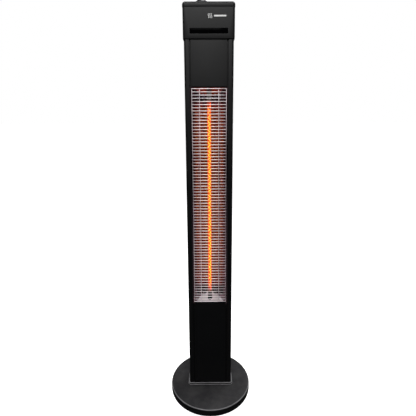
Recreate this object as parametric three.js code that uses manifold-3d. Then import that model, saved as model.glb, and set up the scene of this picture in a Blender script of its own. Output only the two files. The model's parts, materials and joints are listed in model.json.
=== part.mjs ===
// Free-standing outdoor heater: a slim rectangular column on a weighted round base, with a quartz
// lamp behind a wire guard and a control head on top. Millimetres, +Z up, front towards -Y.
// The origin is on the floor under the middle of the base.
import * as THREE from 'three';
import { mergeVertices } from 'three/addons/utils/BufferGeometryUtils.js';
import Module from 'manifold-3d';

const wasm = await Module();
wasm.setup();

// ---------------------------------------------------------------- driving dimensions

const gap = 0.3;                    // between pieces that touch
const snapStep = 1e-4;
const arcSegments = 3;

const baseDiameter = 300;
const baseHeight = 29.5;            // floor to the top of the base cover
const baseEdgeRadius = 4;
const baseWall = 2;
const bottomPlateThickness = 2;
const weightMargin = 32;            // weight's rim inside the base cover's rim
const wiringHoleRadius = 14;

const footCount = 5;
const footHeight = 4.5;
const footRadius = 12;
const footMargin = 22;              // foot centres inside the base cover's rim

const columnWidth = 157;
const columnDepth = 58;
const columnLength = 1254;          // base cover to the top end, inside the head
const columnCorner = 6.5;
const postWall = 1.6;
const postFace = 17;                // width of a post's front face, corner included
const lipDepth = 6.2;               // how far a post's edge folds back
const lipWall = 1.6;

const panelRecess = 1.5;            // panel face behind the post faces
const panelWall = 1.2;
const grooveWidth = 3;              // between a post's edge and a panel's face
const flangeWidth = 7.5;            // panel edge held behind a post's lip
const lowerPanelLength = 338;
const upperPanelLength = 153;

const collarProud = 5.5;
const collarHeight = 8;
const collarEdgeRadius = 3;

const tubeRadius = 6;
const tubeWall = 1.2;
const filamentRadius = 2.4;
const lampEndMargin = 42;           // from the opening's ends to the ends of the quartz tube
const capRadius = 8;
const capLength = 26;
const holderWidth = 44;
const holderHeight = 12;
const holderWall = 0.7;             // round the lamp's ceramic end, at its thinnest
const holderLegWidth = 5;
const holderLegDepth = 3;

const reflectorMargin = 4.5;        // reflector's edges inside the panels' edges
const reflectorSheet = 1.5;
const reflectorFacets = 7;
const endPlateSlope = 0.76;
const endPlateSheet = 1;
const endPlateMargin = 2;           // end plate's front edge inside the opening
const endPlateSetback = 2.5;        // end plate's front edge behind the reflector's mouth
const shieldMargin = 2;             // heat shield's wings outside the panels' flanges
const shieldSheet = 1;
const shieldClearance = 2.55;       // between the heat shield and the rear panel's flanges
const shieldSpacing = 2;            // between the reflector's back and the heat shield

const wirePitch = 10;
const wireThickness = 2.6;
const guardMargin = 4.2;            // guard's edges inside the posts' edges
const stayOffset = 31;

const headOverlap = 10;             // how far the head comes down over the column
const headProud = 2.7;
const headHeight = 92;              // without its cap
const headWall = 2.2;
const headCorner = 8;
const capHeight = 16;
const capProud = 0.8;               // head cap beyond the head shell
const capEdgeRadius = 11;
const baffleThickness = 3;

const windowWidth = 119;
const windowHeight = 16;
const windowBottom = 15;            // above the head's lower edge
const windowFlange = 3;             // behind the head's wall at each end
const windowLip = 1.2;              // behind the head's wall above and below

const rockerX = -22.5;
const rockerRadius = 13.5;
const rockerWidth = 18;
const rockerTilt = 10;              // degrees either side of level
const rockerEndAngle = 30;
const bezelMargin = 3;
const bezelThickness = 3;
const switchBodyDepth = 20;

const tipSwitchMargin = 56;         // tip-over switch's axis inside the weight's rim, along x and y
const plungerRadius = 3;
const plungerTravel = 3;
const plungerLift = 0.2;            // tip above the floor when the switch is pressed

const boltSpacingX = 100;
const boltSpacingY = 24;
const boltRadius = 3;
const bracketThickness = 5;
const bracketTabHeight = 16;
const screwRadius = 1.8;
const screwMargin = 13.5;           // rear screws inside the panels' edges

// ---------------------------------------------------------------- sizes that follow

const baseRadius = baseDiameter / 2;
const weightRadius = baseRadius - weightMargin;
const footCircleRadius = baseRadius - footMargin;
const tipSwitchX = weightRadius - tipSwitchMargin;
const tipSwitchY = tipSwitchX;
const columnBottomZ = baseHeight + gap;
const columnTopZ = columnBottomZ + columnLength;
const openingBottomZ = columnBottomZ + lowerPanelLength;
const openingTopZ = columnTopZ - upperPanelLength;
const openingHeight = openingTopZ - openingBottomZ;
const postInnerX = columnWidth / 2 - postFace;
const postBackX = columnWidth / 2 - postWall;
const panelHalfWidth = postInnerX - grooveWidth;
const panelFaceY = columnDepth / 2 - panelRecess;
const flangeFrontY = columnDepth / 2 - lipDepth - gap;
const flangeHalfWidth = panelHalfWidth + flangeWidth;
const innerHalfDepth = flangeFrontY - panelWall - gap;
const screwSpacingX = 2 * (panelHalfWidth - screwMargin);
const shieldHalfWidth = flangeHalfWidth + shieldMargin;
const shieldY = innerHalfDepth - shieldClearance - shieldSheet;
const reflectorHalfWidth = panelHalfWidth - reflectorMargin;
const reflectorVertexY = shieldY - shieldSpacing - reflectorSheet;
const reflectorMouthY = -flangeFrontY;
const reflectorDepth = reflectorVertexY - reflectorMouthY;
const endPlateFrontY = reflectorMouthY + endPlateSetback;
const lampAxisY = reflectorMouthY + 0.45 * reflectorDepth;
const holderDepth = 2 * (capRadius + gap + holderWall);
const guardFrontY = reflectorMouthY - 2 * gap - wireThickness;
const guardHalfWidth = postInnerX - guardMargin;
const tubeBottomZ = openingBottomZ + lampEndMargin;
const tubeTopZ = openingTopZ - lampEndMargin;
const tubeLength = tubeTopZ - tubeBottomZ;
const headBottomZ = columnTopZ - headOverlap;
const headWidth = columnWidth + 2 * headProud;
const headDepth = columnDepth + 2 * headProud + 0.6;
const capWidth = headWidth + 2 * capProud;
const capDepth = headDepth + 2 * capProud;
const capBottomZ = headHeight + gap;                  // in the head's own frame
const capTopZ = capBottomZ + capHeight;
const bezelLength = 2 * (rockerRadius + gap + bezelMargin);
const bezelWidth = rockerWidth + 2 * (gap + bezelMargin);
const rockerY = -capDepth / 2 + capEdgeRadius + bezelWidth / 2 + gap;

// The reflector's parabola, with the lamp close to its focus.
function reflectorYAt(x) {
  return reflectorVertexY - reflectorDepth * (x / reflectorHalfWidth) ** 2;
}

// ---------------------------------------------------------------- solids

// A closed geometry as a solid. Points are snapped together, slivers dropped and the faces pointed out.
function solidOf(geometry) {
  const bare = geometry.clone();
  bare.deleteAttribute('normal');
  bare.deleteAttribute('uv');
  const { array } = bare.attributes.position;
  array.forEach((value, i) => {
    array[i] = Math.round(value / snapStep) * snapStep;
  });
  const merged = mergeVertices(bare, snapStep / 2);
  const positions = Float32Array.from(merged.attributes.position.array);
  const triangles = [];
  const corners = [new THREE.Vector3(), new THREE.Vector3(), new THREE.Vector3()];
  let volume = 0;
  for (let i = 0; i < merged.index.count; i += 3) {
    const [a, b, c] = [0, 1, 2].map((k) => merged.index.getX(i + k));
    if (a === b || b === c || c === a) continue;
    triangles.push(a, b, c);
    [a, b, c].forEach((vertex, k) => corners[k].fromArray(positions, vertex * 3));
    volume += corners[0].dot(corners[1].clone().cross(corners[2]));
  }
  if (volume < 0) triangles.reverse();
  return new wasm.Manifold(new wasm.Mesh({
    numProp: 3,
    vertProperties: positions,
    triVerts: Uint32Array.from(triangles),
  }));
}

function geometryOf(solid) {
  const mesh = solid.getMesh();
  const geometry = new THREE.BufferGeometry();
  geometry.setAttribute('position', new THREE.BufferAttribute(mesh.vertProperties, 3));
  geometry.setIndex(new THREE.BufferAttribute(mesh.triVerts, 1));
  geometry.computeVertexNormals();
  return geometry;
}

// A block centred on x and y, standing on z.
function block(width, depth, height, x = 0, y = 0, z = 0) {
  const geometry = new THREE.BoxGeometry(width, depth, height);
  geometry.translate(x, y, z + height / 2);
  return solidOf(geometry);
}

// A round bar standing on z.
function bar(radius, height, x = 0, y = 0, z = 0, sides = 16) {
  const geometry = new THREE.CylinderGeometry(radius, radius, height, sides);
  geometry.rotateX(Math.PI / 2);
  geometry.translate(x, y, z + height / 2);
  return solidOf(geometry);
}

// A round bar that runs from y towards +Y.
function crossBar(radius, length, x, y, z, sides = 16) {
  const geometry = new THREE.CylinderGeometry(radius, radius, length, sides);
  geometry.translate(x, y + length / 2, z);
  return solidOf(geometry);
}

// An outline in x and y, extruded upwards from z.
function prism(shape, height, z = 0) {
  const geometry = new THREE.ExtrudeGeometry(shape, { depth: height, bevelEnabled: false, curveSegments: arcSegments });
  geometry.translate(0, 0, z);
  return solidOf(geometry);
}

// An outline in x and z, extruded from y towards +Y.
function plate(shape, thickness, y) {
  const geometry = new THREE.ExtrudeGeometry(shape, { depth: thickness, bevelEnabled: false, curveSegments: arcSegments });
  geometry.rotateX(Math.PI / 2);
  geometry.translate(0, y + thickness, 0);
  return solidOf(geometry);
}

// A profile of [radius, z] points turned about the z axis.
function turned(profile, sides = 24) {
  const points = profile.map(([radius, z]) => new THREE.Vector2(radius, z));
  const geometry = new THREE.LatheGeometry(points, sides);
  geometry.rotateX(Math.PI / 2);
  return solidOf(geometry);
}

function outline(points) {
  return new THREE.Shape(points.map(([x, y]) => new THREE.Vector2(x, y)));
}

function rectangle(width, height, x = 0, y = 0) {
  const [w, h] = [width / 2, height / 2];
  return outline([[x - w, y - h], [x + w, y - h], [x + w, y + h], [x - w, y + h]]);
}

function roundedRectangle(width, depth, radius) {
  const [w, d] = [width / 2 - radius, depth / 2 - radius];
  const shape = new THREE.Shape();
  shape.absarc(w, d, radius, 0, Math.PI / 2);
  shape.absarc(-w, d, radius, Math.PI / 2, Math.PI);
  shape.absarc(-w, -d, radius, Math.PI, 1.5 * Math.PI);
  shape.absarc(w, -d, radius, 1.5 * Math.PI, 2 * Math.PI);
  return shape;
}

// A rounded block standing on z whose top edge is rounded over.
function cushionBlock(width, depth, height, corner, edge, z = 0) {
  const shape = roundedRectangle(width - 2 * edge, depth - 2 * edge, Math.max(corner - edge, 0.5));
  const geometry = new THREE.ExtrudeGeometry(shape, {
    depth: height,
    bevelEnabled: true,
    bevelThickness: edge,
    bevelSize: edge,
    bevelSegments: arcSegments,
    curveSegments: arcSegments,
  });
  geometry.translate(0, 0, z - edge);
  const keep = block(2 * width, 2 * depth, height, 0, 0, z);
  return solidOf(geometry).intersect(keep);
}

function tiltedBy(solid, matrix) {
  const geometry = geometryOf(solid);
  geometry.applyMatrix4(matrix);
  return solidOf(geometry);
}

// ---------------------------------------------------------------- scene

const heater = new THREE.Group();

function assembly(z) {
  const group = new THREE.Group();
  group.position.z = z;
  heater.add(group);
  return group;
}

const baseGroup = assembly(0);
const columnGroup = assembly(columnBottomZ);
const heaterGroup = assembly(openingBottomZ);
const headGroup = assembly(headBottomZ);

function part(group, name, solid, finish, position = [0, 0, 0]) {
  const material = new THREE.MeshStandardMaterial(finish);
  const mesh = new THREE.Mesh(geometryOf(solid), material);
  mesh.name = name;
  mesh.position.set(...position);
  group.add(mesh);
  return mesh;
}

const finishes = {
  powderCoat: { color: 0x1b1b1d, roughness: 0.6, metalness: 0.3 },
  headPlastic: { color: 0x2e2e30, roughness: 0.65, metalness: 0 },
  glossBlack: { color: 0x040405, roughness: 0.12, metalness: 0 },
  switchPlastic: { color: 0x0d0d0e, roughness: 0.35, metalness: 0 },
  wireSteel: { color: 0xb4b4b4, roughness: 0.3, metalness: 1 },
  mirrorAluminium: { color: 0xd0ccc8, roughness: 0.15, metalness: 1 },
  zincSteel: { color: 0x9a9ca0, roughness: 0.45, metalness: 1 },
  quartz: { color: 0xffd2a0, roughness: 0.05, metalness: 0, transparent: true, opacity: 0.35 },
  glowingFilament: { color: 0xff9a2a, roughness: 0.6, metalness: 0, emissive: 0xff7a18 },
  ceramic: { color: 0xd9d4c8, roughness: 0.7, metalness: 0 },
  circuitBoard: { color: 0x1f4a2c, roughness: 0.5, metalness: 0 },
  componentPlastic: { color: 0x24282c, roughness: 0.5, metalness: 0 },
  indicatorLens: { color: 0xc03020, roughness: 0.2, metalness: 0 },
  rubber: { color: 0x151515, roughness: 0.9, metalness: 0 },
  castIron: { color: 0x3a3a3a, roughness: 0.8, metalness: 0.6 },
  terminalPlastic: { color: 0xe8e4d8, roughness: 0.5, metalness: 0 },
};

// ---------------------------------------------------------------- base

function boltPlaces() {
  const [x, y] = [boltSpacingX / 2, boltSpacingY / 2];
  return [[x, y], [-x, y], [-x, -y], [x, -y]];
}

function cutBoltHoles(solid, bottom, height) {
  for (const [x, y] of boltPlaces()) {
    solid = solid.subtract(bar(boltRadius + gap, height, x, y, bottom));
  }
  return solid;
}

const plateBottomZ = footHeight;
const plateTopZ = plateBottomZ + bottomPlateThickness;
const weightBottomZ = plateTopZ + gap;
const weightTopZ = baseHeight - baseWall - gap;
const tipHousingSize = 26;
const tipHousingHeight = weightTopZ - weightBottomZ;
const tipBoreRadius = 5.6;
const tipFlangeRadius = 5;
const tipFlangeBottomZ = weightBottomZ + plungerTravel;
const tipFlangeHeight = 2;
const tipRoof = 3;
const springRadius = 3.6;
const springWire = 0.5;
const springTurns = 4;

function baseCover() {
  const rim = baseRadius - baseEdgeRadius;
  const profile = [[0, baseHeight], [rim, baseHeight]];
  for (let i = 1; i <= arcSegments; i += 1) {
    const angle = (i / arcSegments) * (Math.PI / 2);
    profile.push([
      rim + baseEdgeRadius * Math.sin(angle),
      baseHeight - baseEdgeRadius * (1 - Math.cos(angle)),
    ]);
  }
  profile.push([baseRadius, plateBottomZ], [baseRadius - baseWall, plateBottomZ]);
  profile.push([baseRadius - baseWall, baseHeight - baseEdgeRadius]);
  profile.push([rim - baseWall / 2, baseHeight - baseWall], [0, baseHeight - baseWall]);
  const shell = turned(profile, 72).subtract(bar(wiringHoleRadius, baseHeight, 0, 0, plateTopZ, 24));
  return cutBoltHoles(shell, plateTopZ, baseHeight);
}

function baseWeight() {
  const disc = bar(weightRadius, weightTopZ - weightBottomZ, 0, 0, weightBottomZ, 48);
  const pocket = tipHousingSize + 2 * gap;
  return cutBoltHoles(disc, 0, baseHeight)
    .subtract(bar(wiringHoleRadius, baseHeight, 0, 0, 0, 24))
    .subtract(block(pocket, pocket, baseHeight, tipSwitchX, tipSwitchY));
}

function bottomPlate() {
  const radius = baseRadius - baseWall - gap;
  const disc = bar(radius, bottomPlateThickness, 0, 0, plateBottomZ, 72);
  return cutBoltHoles(disc, 0, baseHeight)
    .subtract(bar(plungerRadius + gap, baseHeight, tipSwitchX, tipSwitchY, 0));
}

function foot() {
  const top = footHeight - gap;
  return turned([[0, 0], [footRadius - 1.5, 0], [footRadius, top], [0, top]], 20);
}

function collar() {
  const [width, depth] = [columnWidth + 2 * collarProud, columnDepth + 2 * collarProud];
  const corner = columnCorner + collarProud;
  const hole = roundedRectangle(columnWidth + 2 * gap, columnDepth + 2 * gap, columnCorner + gap);
  return cushionBlock(width, depth, collarHeight, corner, collarEdgeRadius)
    .subtract(prism(hole, collarHeight + 2, -1));
}

function tipHousing() {
  const body = block(tipHousingSize, tipHousingSize, tipHousingHeight, 0, 0, weightBottomZ);
  return body.subtract(bar(tipBoreRadius, tipHousingHeight - tipRoof, 0, 0, weightBottomZ));
}

function tipPlunger() {
  const stemTop = tipFlangeBottomZ + tipFlangeHeight;
  const nose = plungerRadius / 2;
  return turned([
    [0, plungerLift],
    [nose, plungerLift],
    [plungerRadius, plungerLift + nose],
    [plungerRadius, tipFlangeBottomZ],
    [tipFlangeRadius, tipFlangeBottomZ],
    [tipFlangeRadius, stemTop],
    [nose, stemTop],
    [nose, stemTop + 3],
    [0, stemTop + 3],
  ], 16);
}

// Tube along a curve, as an extruded round section.
function tubeAlong(curve, radius, sides, steps) {
  const section = new THREE.Shape();
  section.absarc(0, 0, radius, 0, 2 * Math.PI);
  return solidOf(new THREE.ExtrudeGeometry(section, {
    steps,
    curveSegments: sides,
    bevelEnabled: false,
    extrudePath: curve,
  }));
}

class Coil extends THREE.Curve {
  constructor(radius, turns, bottom, height) {
    super();
    Object.assign(this, { radius, turns, bottom, height });
  }

  getPoint(t, target = new THREE.Vector3()) {
    const angle = t * this.turns * 2 * Math.PI;
    return target.set(
      this.radius * Math.cos(angle),
      this.radius * Math.sin(angle),
      this.bottom + t * this.height,
    );
  }
}

function tipSpring() {
  const bottom = tipFlangeBottomZ + tipFlangeHeight + springWire + gap;
  const top = weightTopZ - tipRoof - springWire - gap;
  return tubeAlong(new Coil(springRadius, springTurns, bottom, top - bottom), springWire, 3, 10 * springTurns);
}

function columnBolt() {
  const headHeight = 3;
  const top = columnBottomZ + bracketThickness - 1;
  const shank = bar(boltRadius, top - plateBottomZ + gap, 0, 0, plateBottomZ - gap);
  return shank.add(bar(5.5, headHeight, 0, 0, plateBottomZ - gap - headHeight, 6));
}

function buildBase() {
  part(baseGroup, 'base_cover', baseCover(), finishes.powderCoat);
  part(baseGroup, 'base_weight', baseWeight(), finishes.castIron);
  part(baseGroup, 'base_bottom_plate', bottomPlate(), finishes.zincSteel);
  part(baseGroup, 'column_collar', collar(), finishes.powderCoat, [0, 0, columnBottomZ]);
  for (let i = 0; i < footCount; i += 1) {
    const angle = ((i + 0.75) / footCount) * 2 * Math.PI;
    const place = [footCircleRadius * Math.cos(angle), footCircleRadius * Math.sin(angle), 0];
    part(baseGroup, `rubber_foot_${i + 1}`, foot(), finishes.rubber, place);
  }
  boltPlaces().forEach(([x, y], i) => {
    part(baseGroup, `column_bolt_${i + 1}`, columnBolt(), finishes.zincSteel, [x, y, 0]);
  });
  const tipPlace = [tipSwitchX, tipSwitchY, 0];
  part(baseGroup, 'tip_switch_housing', tipHousing(), finishes.componentPlastic, tipPlace);
  part(baseGroup, 'tip_plunger', tipPlunger(), finishes.terminalPlastic, tipPlace);
  part(baseGroup, 'tip_spring', tipSpring(), finishes.zincSteel, tipPlace);
}

// ---------------------------------------------------------------- column

// One side of the column: rounded outer corners, with both edges folded back as lips.
function post(side) {
  const [x, y, r] = [columnWidth / 2, columnDepth / 2, columnCorner];
  const shape = new THREE.Shape();
  shape.moveTo(postInnerX, -y);
  shape.lineTo(x - r, -y);
  shape.absarc(x - r, -y + r, r, -Math.PI / 2, 0);
  shape.absarc(x - r, y - r, r, 0, Math.PI / 2);
  shape.lineTo(postInnerX, y);
  shape.lineTo(postInnerX, y - lipDepth);
  shape.lineTo(postInnerX + lipWall, y - lipDepth);
  shape.lineTo(postInnerX + lipWall, y - postWall);
  shape.absarc(x - r, y - r, r - postWall, Math.PI / 2, 0, true);
  shape.absarc(x - r, -y + r, r - postWall, 0, -Math.PI / 2, true);
  shape.lineTo(postInnerX + lipWall, -y + postWall);
  shape.lineTo(postInnerX + lipWall, -y + lipDepth);
  shape.lineTo(postInnerX, -y + lipDepth);
  const right = prism(shape, columnLength);
  return side > 0 ? right : tiltedBy(right, new THREE.Matrix4().makeRotationZ(Math.PI));
}

// Folded panel with its face proud of its flanges. Side -1 is the front, +1 the back.
function foldedPanel(length, side) {
  const webX = panelHalfWidth - panelWall;
  const flangeBackY = flangeFrontY - panelWall;
  const right = [
    [panelHalfWidth, panelFaceY],
    [panelHalfWidth, flangeFrontY],
    [flangeHalfWidth, flangeFrontY],
    [flangeHalfWidth, flangeBackY],
    [webX, flangeBackY],
    [webX, panelFaceY - panelWall],
  ];
  const left = right.map(([x, y]) => [-x, y]).reverse();
  const points = [...right, ...left].map(([x, y]) => [x, side * y]);
  return prism(outline(points), length);
}

const ventCount = 8;
const ventWidth = 84;
const ventHeight = 4;
const ventPitch = 9;
const ventMargin = 40;               // vents clear of the opening, so nothing shows through them
const glandZ = 50;
const glandRadius = 8;

function screwHeights() {
  const tab = bracketThickness + bracketTabHeight / 2;
  return [tab, columnLength - headOverlap - tab];
}

function rearPanel() {
  let panel = foldedPanel(columnLength - gap, 1);
  const groups = [
    lowerPanelLength - ventMargin - ventCount * ventPitch,
    lowerPanelLength + openingHeight + ventMargin,
  ];
  for (const bottom of groups) {
    for (let i = 0; i < ventCount; i += 1) {
      panel = panel.subtract(block(ventWidth, 6, ventHeight, 0, panelFaceY, bottom + i * ventPitch));
    }
  }
  for (const z of screwHeights()) {
    for (const x of [-screwSpacingX / 2, screwSpacingX / 2]) {
      panel = panel.subtract(crossBar(screwRadius + gap, columnDepth, x, 0, z, 10));
    }
  }
  return panel.subtract(crossBar(glandRadius + gap, columnDepth, 0, 0, glandZ, 24));
}

// Cross plate that ties the posts together, with a tab up or down its rear edge for the panel screws.
function bracket(up) {
  const halfDepth = innerHalfDepth - gap;
  const width = 2 * (postBackX - gap);
  const tabWidth = screwSpacingX + 20;
  const tabBottom = up ? 0 : -bracketTabHeight;
  let solid = block(width, 2 * halfDepth, bracketThickness)
    .add(block(tabWidth, 2, bracketTabHeight + bracketThickness, 0, halfDepth - 1, tabBottom));
  const screwZ = up ? bracketThickness + bracketTabHeight / 2 : -bracketTabHeight / 2;
  for (const x of [-screwSpacingX / 2, screwSpacingX / 2]) {
    solid = solid.subtract(crossBar(screwRadius + gap, 10, x, halfDepth - 5, screwZ, 10));
  }
  return solid;
}

function bottomBracket() {
  return cutBoltHoles(bracket(true), -1, bracketThickness + 2)
    .subtract(bar(wiringHoleRadius - 2, bracketThickness + 2, 0, 0, -1, 20));
}

function topBracket() {
  return bracket(false).subtract(block(60, 20, bracketThickness + 2, 0, -5, -1));
}

function panelScrew() {
  const [headRadius, headHeight] = [3.8, 1.6];
  const length = panelFaceY + gap - (innerHalfDepth - gap - 4);
  return crossBar(screwRadius, length, 0, panelFaceY + gap - length, 0, 10)
    .add(crossBar(headRadius, headHeight, 0, panelFaceY + gap, 0, 14));
}

function terminalBlock() {
  let solid = block(44, 18, 15);
  for (const x of [-14, 0, 14]) {
    solid = solid.subtract(bar(3, 8, x, 0, 9, 10));
  }
  return solid;
}

function cableGland() {
  const outer = panelFaceY + gap;
  return crossBar(glandRadius, 14, 0, outer - 12, 0, 20)
    .add(crossBar(glandRadius + 3, 1.2, 0, outer, 0, 6));
}

function glandNut() {
  const top = panelFaceY - panelWall - gap;
  return crossBar(glandRadius + 4, 4, 0, top - 4, 0, 6)
    .subtract(crossBar(glandRadius + gap, 6, 0, top - 5, 0, 20));
}

function buildColumn() {
  part(columnGroup, 'right_post', post(1), finishes.powderCoat);
  part(columnGroup, 'left_post', post(-1), finishes.powderCoat);
  part(columnGroup, 'lower_front_panel', foldedPanel(lowerPanelLength - gap, -1), finishes.powderCoat);
  const upperPanel = foldedPanel(upperPanelLength - 2 * gap, -1);
  part(columnGroup, 'upper_front_panel', upperPanel, finishes.powderCoat,
    [0, 0, openingTopZ - columnBottomZ + gap]);
  part(columnGroup, 'rear_panel', rearPanel(), finishes.powderCoat);
  part(columnGroup, 'bottom_bracket', bottomBracket(), finishes.zincSteel);
  part(columnGroup, 'top_bracket', topBracket(), finishes.zincSteel,
    [0, 0, columnLength - headOverlap - bracketThickness]);
  screwHeights().forEach((z, row) => {
    [-1, 1].forEach((side, column) => {
      const place = [(side * screwSpacingX) / 2, 0, z];
      part(columnGroup, `rear_screw_${2 * row + column + 1}`, panelScrew(), finishes.zincSteel, place);
    });
  });
  part(columnGroup, 'terminal_block', terminalBlock(), finishes.terminalPlastic,
    [0, -6, bracketThickness + gap]);
  part(columnGroup, 'cable_gland', cableGland(), finishes.switchPlastic, [0, 0, glandZ]);
  part(columnGroup, 'gland_nut', glandNut(), finishes.switchPlastic, [0, 0, glandZ]);
}

// ---------------------------------------------------------------- heater

function facetEdges() {
  const edges = [];
  for (let i = 0; i <= reflectorFacets; i += 1) {
    edges.push(reflectorHalfWidth * (1 - (2 * i) / reflectorFacets));
  }
  return edges;
}

function reflector() {
  const inner = facetEdges().map((x) => [x, reflectorYAt(x)]);
  const outer = inner.slice(1, -1).map(([x, y]) => [x, y + reflectorSheet]).reverse();
  const backY = reflectorMouthY + panelWall;
  const points = [
    [flangeHalfWidth, reflectorMouthY],
    ...inner,
    [-flangeHalfWidth, reflectorMouthY],
    [-flangeHalfWidth, backY],
    [-reflectorHalfWidth - 1, backY],
    ...outer,
    [reflectorHalfWidth + 1, backY],
    [flangeHalfWidth, backY],
  ];
  return prism(outline(points), openingHeight - 2 * gap, gap);
}

// Sloped sheet that closes one end of the reflector. Up is the lower end, which rises to the back.
function endPlate(up) {
  const inset = 0.6;
  const points = facetEdges().map((x) => [x - Math.sign(x) * inset, reflectorYAt(x) - inset]);
  const slope = up ? endPlateSlope : -endPlateSlope;
  const shear = new THREE.Matrix4().set(1, 0, 0, 0, 0, 1, 0, 0, 0, slope, 1, -slope * endPlateFrontY, 0, 0, 0, 1);
  const sheet = prism(outline(points), endPlateSheet)
    .intersect(block(4 * reflectorHalfWidth, columnDepth, 10, 0, endPlateFrontY + columnDepth / 2, -5));
  const bottom = up ? endPlateMargin : openingHeight - endPlateMargin - endPlateSheet;
  const sloped = tiltedBy(sheet, shear);
  const lifted = tiltedBy(sloped, new THREE.Matrix4().makeTranslation(0, 0, bottom));
  return lifted.subtract(bar(capRadius + gap, openingHeight + 2, 0, lampAxisY, -1, 20));
}

function endPlateHeightAt(y) {
  return endPlateMargin + endPlateSheet + endPlateSlope * (y - endPlateFrontY);
}

// Bracket that grips a ceramic lamp end and stands on two legs on the end plate.
function lampHolder() {
  const backY = lampAxisY + holderDepth / 2;
  const top = lampEndMargin + 2;
  const legBottom = endPlateHeightAt(backY) + gap;
  const legX = (holderWidth - holderLegWidth - 1) / 2;
  let solid = block(holderWidth, holderDepth, holderHeight, 0, lampAxisY, top - holderHeight);
  for (const x of [-legX, legX]) {
    solid = solid.add(block(holderLegWidth, holderLegDepth, top - 1 - legBottom,
      x, backY - holderLegDepth / 2, legBottom));
  }
  return solid.subtract(bar(capRadius + gap, lampEndMargin + 4, 0, lampAxisY, 0, 20));
}

function mirrored(solid) {
  return tiltedBy(solid, new THREE.Matrix4().set(1, 0, 0, 0, 0, 1, 0, 0, 0, 0, -1, openingHeight, 0, 0, 0, 1));
}

// Ceramic lamp end: round body with two flats.
function lampCap() {
  const body = bar(capRadius, capLength, 0, 0, lampEndMargin - capLength, 20);
  return body.intersect(block(3 * capRadius, 1.6 * capRadius, 2 * lampEndMargin));
}

function quartzTube() {
  const bottom = lampEndMargin + gap;
  const length = tubeLength - 2 * gap;
  const inner = tubeRadius - tubeWall;
  return turned([
    [inner, bottom],
    [tubeRadius, bottom],
    [tubeRadius, bottom + length],
    [inner, bottom + length],
    [inner, bottom],
  ], 16);
}

function filament() {
  const bottom = lampEndMargin + 2;
  return bar(filamentRadius, tubeLength - 10, 0, 0, bottom, 8);
}

// Welded guard: evenly spaced cross wires between two upright edge wires.
function guard() {
  const bottom = 2;
  const count = Math.floor((openingHeight - 2 * bottom - wireThickness) / wirePitch);
  const height = count * wirePitch + wireThickness;
  const lift = (openingHeight - height) / 2;
  const shape = rectangle(2 * guardHalfWidth, height, 0, lift + height / 2);
  const holeWidth = 2 * (guardHalfWidth - wireThickness);
  const holeHeight = wirePitch - wireThickness;
  for (let i = 0; i < count; i += 1) {
    const middle = lift + wireThickness + holeHeight / 2 + i * wirePitch;
    shape.holes.push(rectangle(holeWidth, holeHeight, 0, middle));
  }
  return plate(shape, wireThickness, guardFrontY);
}

function guardStay() {
  const depth = 2;
  return block(wireThickness, depth, openingHeight - 8, 0, guardFrontY + wireThickness + gap + depth / 2, 4);
}

function heatShield() {
  const wingY = -5;
  const points = [
    [shieldHalfWidth, wingY],
    [shieldHalfWidth, shieldY + shieldSheet],
    [-shieldHalfWidth, shieldY + shieldSheet],
    [-shieldHalfWidth, wingY],
    [-shieldHalfWidth + shieldSheet, wingY],
    [-shieldHalfWidth + shieldSheet, shieldY],
    [shieldHalfWidth - shieldSheet, shieldY],
    [shieldHalfWidth - shieldSheet, wingY],
  ];
  return prism(outline(points), openingHeight);
}

function buildHeater() {
  part(heaterGroup, 'reflector', reflector(), finishes.mirrorAluminium);
  part(heaterGroup, 'reflector_end_bottom', endPlate(true), finishes.mirrorAluminium);
  part(heaterGroup, 'reflector_end_top', endPlate(false), finishes.mirrorAluminium);
  part(heaterGroup, 'lamp_holder_bottom', lampHolder(), finishes.zincSteel);
  part(heaterGroup, 'lamp_holder_top', mirrored(lampHolder()), finishes.zincSteel);
  part(heaterGroup, 'lamp_cap_bottom', lampCap(), finishes.ceramic, [0, lampAxisY, 0]);
  part(heaterGroup, 'lamp_cap_top', mirrored(lampCap()), finishes.ceramic, [0, lampAxisY, 0]);
  part(heaterGroup, 'quartz_tube', quartzTube(), finishes.quartz, [0, lampAxisY, 0]);
  part(heaterGroup, 'filament', filament(), finishes.glowingFilament, [0, lampAxisY, 0]);
  part(heaterGroup, 'wire_guard', guard(), finishes.wireSteel);
  part(heaterGroup, 'guard_stay_left', guardStay(), finishes.wireSteel, [-stayOffset, 0, 0]);
  part(heaterGroup, 'guard_stay_right', guardStay(), finishes.wireSteel, [stayOffset, 0, 0]);
  part(heaterGroup, 'heat_shield', heatShield(), finishes.zincSteel);
  const harnessX = -(shieldHalfWidth + postBackX) / 2;
  const harness = bar(2.8, openingHeight + upperPanelLength / 2, 0, 0, 0, 10);
  part(heaterGroup, 'supply_harness', harness, finishes.switchPlastic, [harnessX, 0, 0]);
}

// ---------------------------------------------------------------- head

const windowCentreZ = windowBottom + windowHeight / 2;
const boardY = -headDepth / 2 + 14;
const boardThickness = 1.6;
const boardBottom = headOverlap + baffleThickness + 4;
const boardHeight = 56;

function headShell() {
  const outer = prism(roundedRectangle(headWidth, headDepth, headCorner), headHeight);
  const hollow = roundedRectangle(headWidth - 2 * headWall, headDepth - 2 * headWall, headCorner - headWall);
  const opening = block(windowWidth, 2 * headWall + 2, windowHeight, 0, -headDepth / 2, windowBottom);
  return outer.subtract(prism(hollow, headHeight + 2, -1)).subtract(opening);
}

function headCap() {
  const inside = cushionBlock(
    capWidth - 2 * headWall,
    capDepth - 2 * headWall,
    capHeight - headWall,
    headCorner + capProud - headWall,
    capEdgeRadius - headWall,
    -1,
  );
  const cut = block(bezelLength - bezelMargin, bezelWidth - bezelMargin, capHeight + 2, rockerX, rockerY);
  return cushionBlock(capWidth, capDepth, capHeight, headCorner + capProud, capEdgeRadius)
    .subtract(inside)
    .subtract(cut);
}

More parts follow.
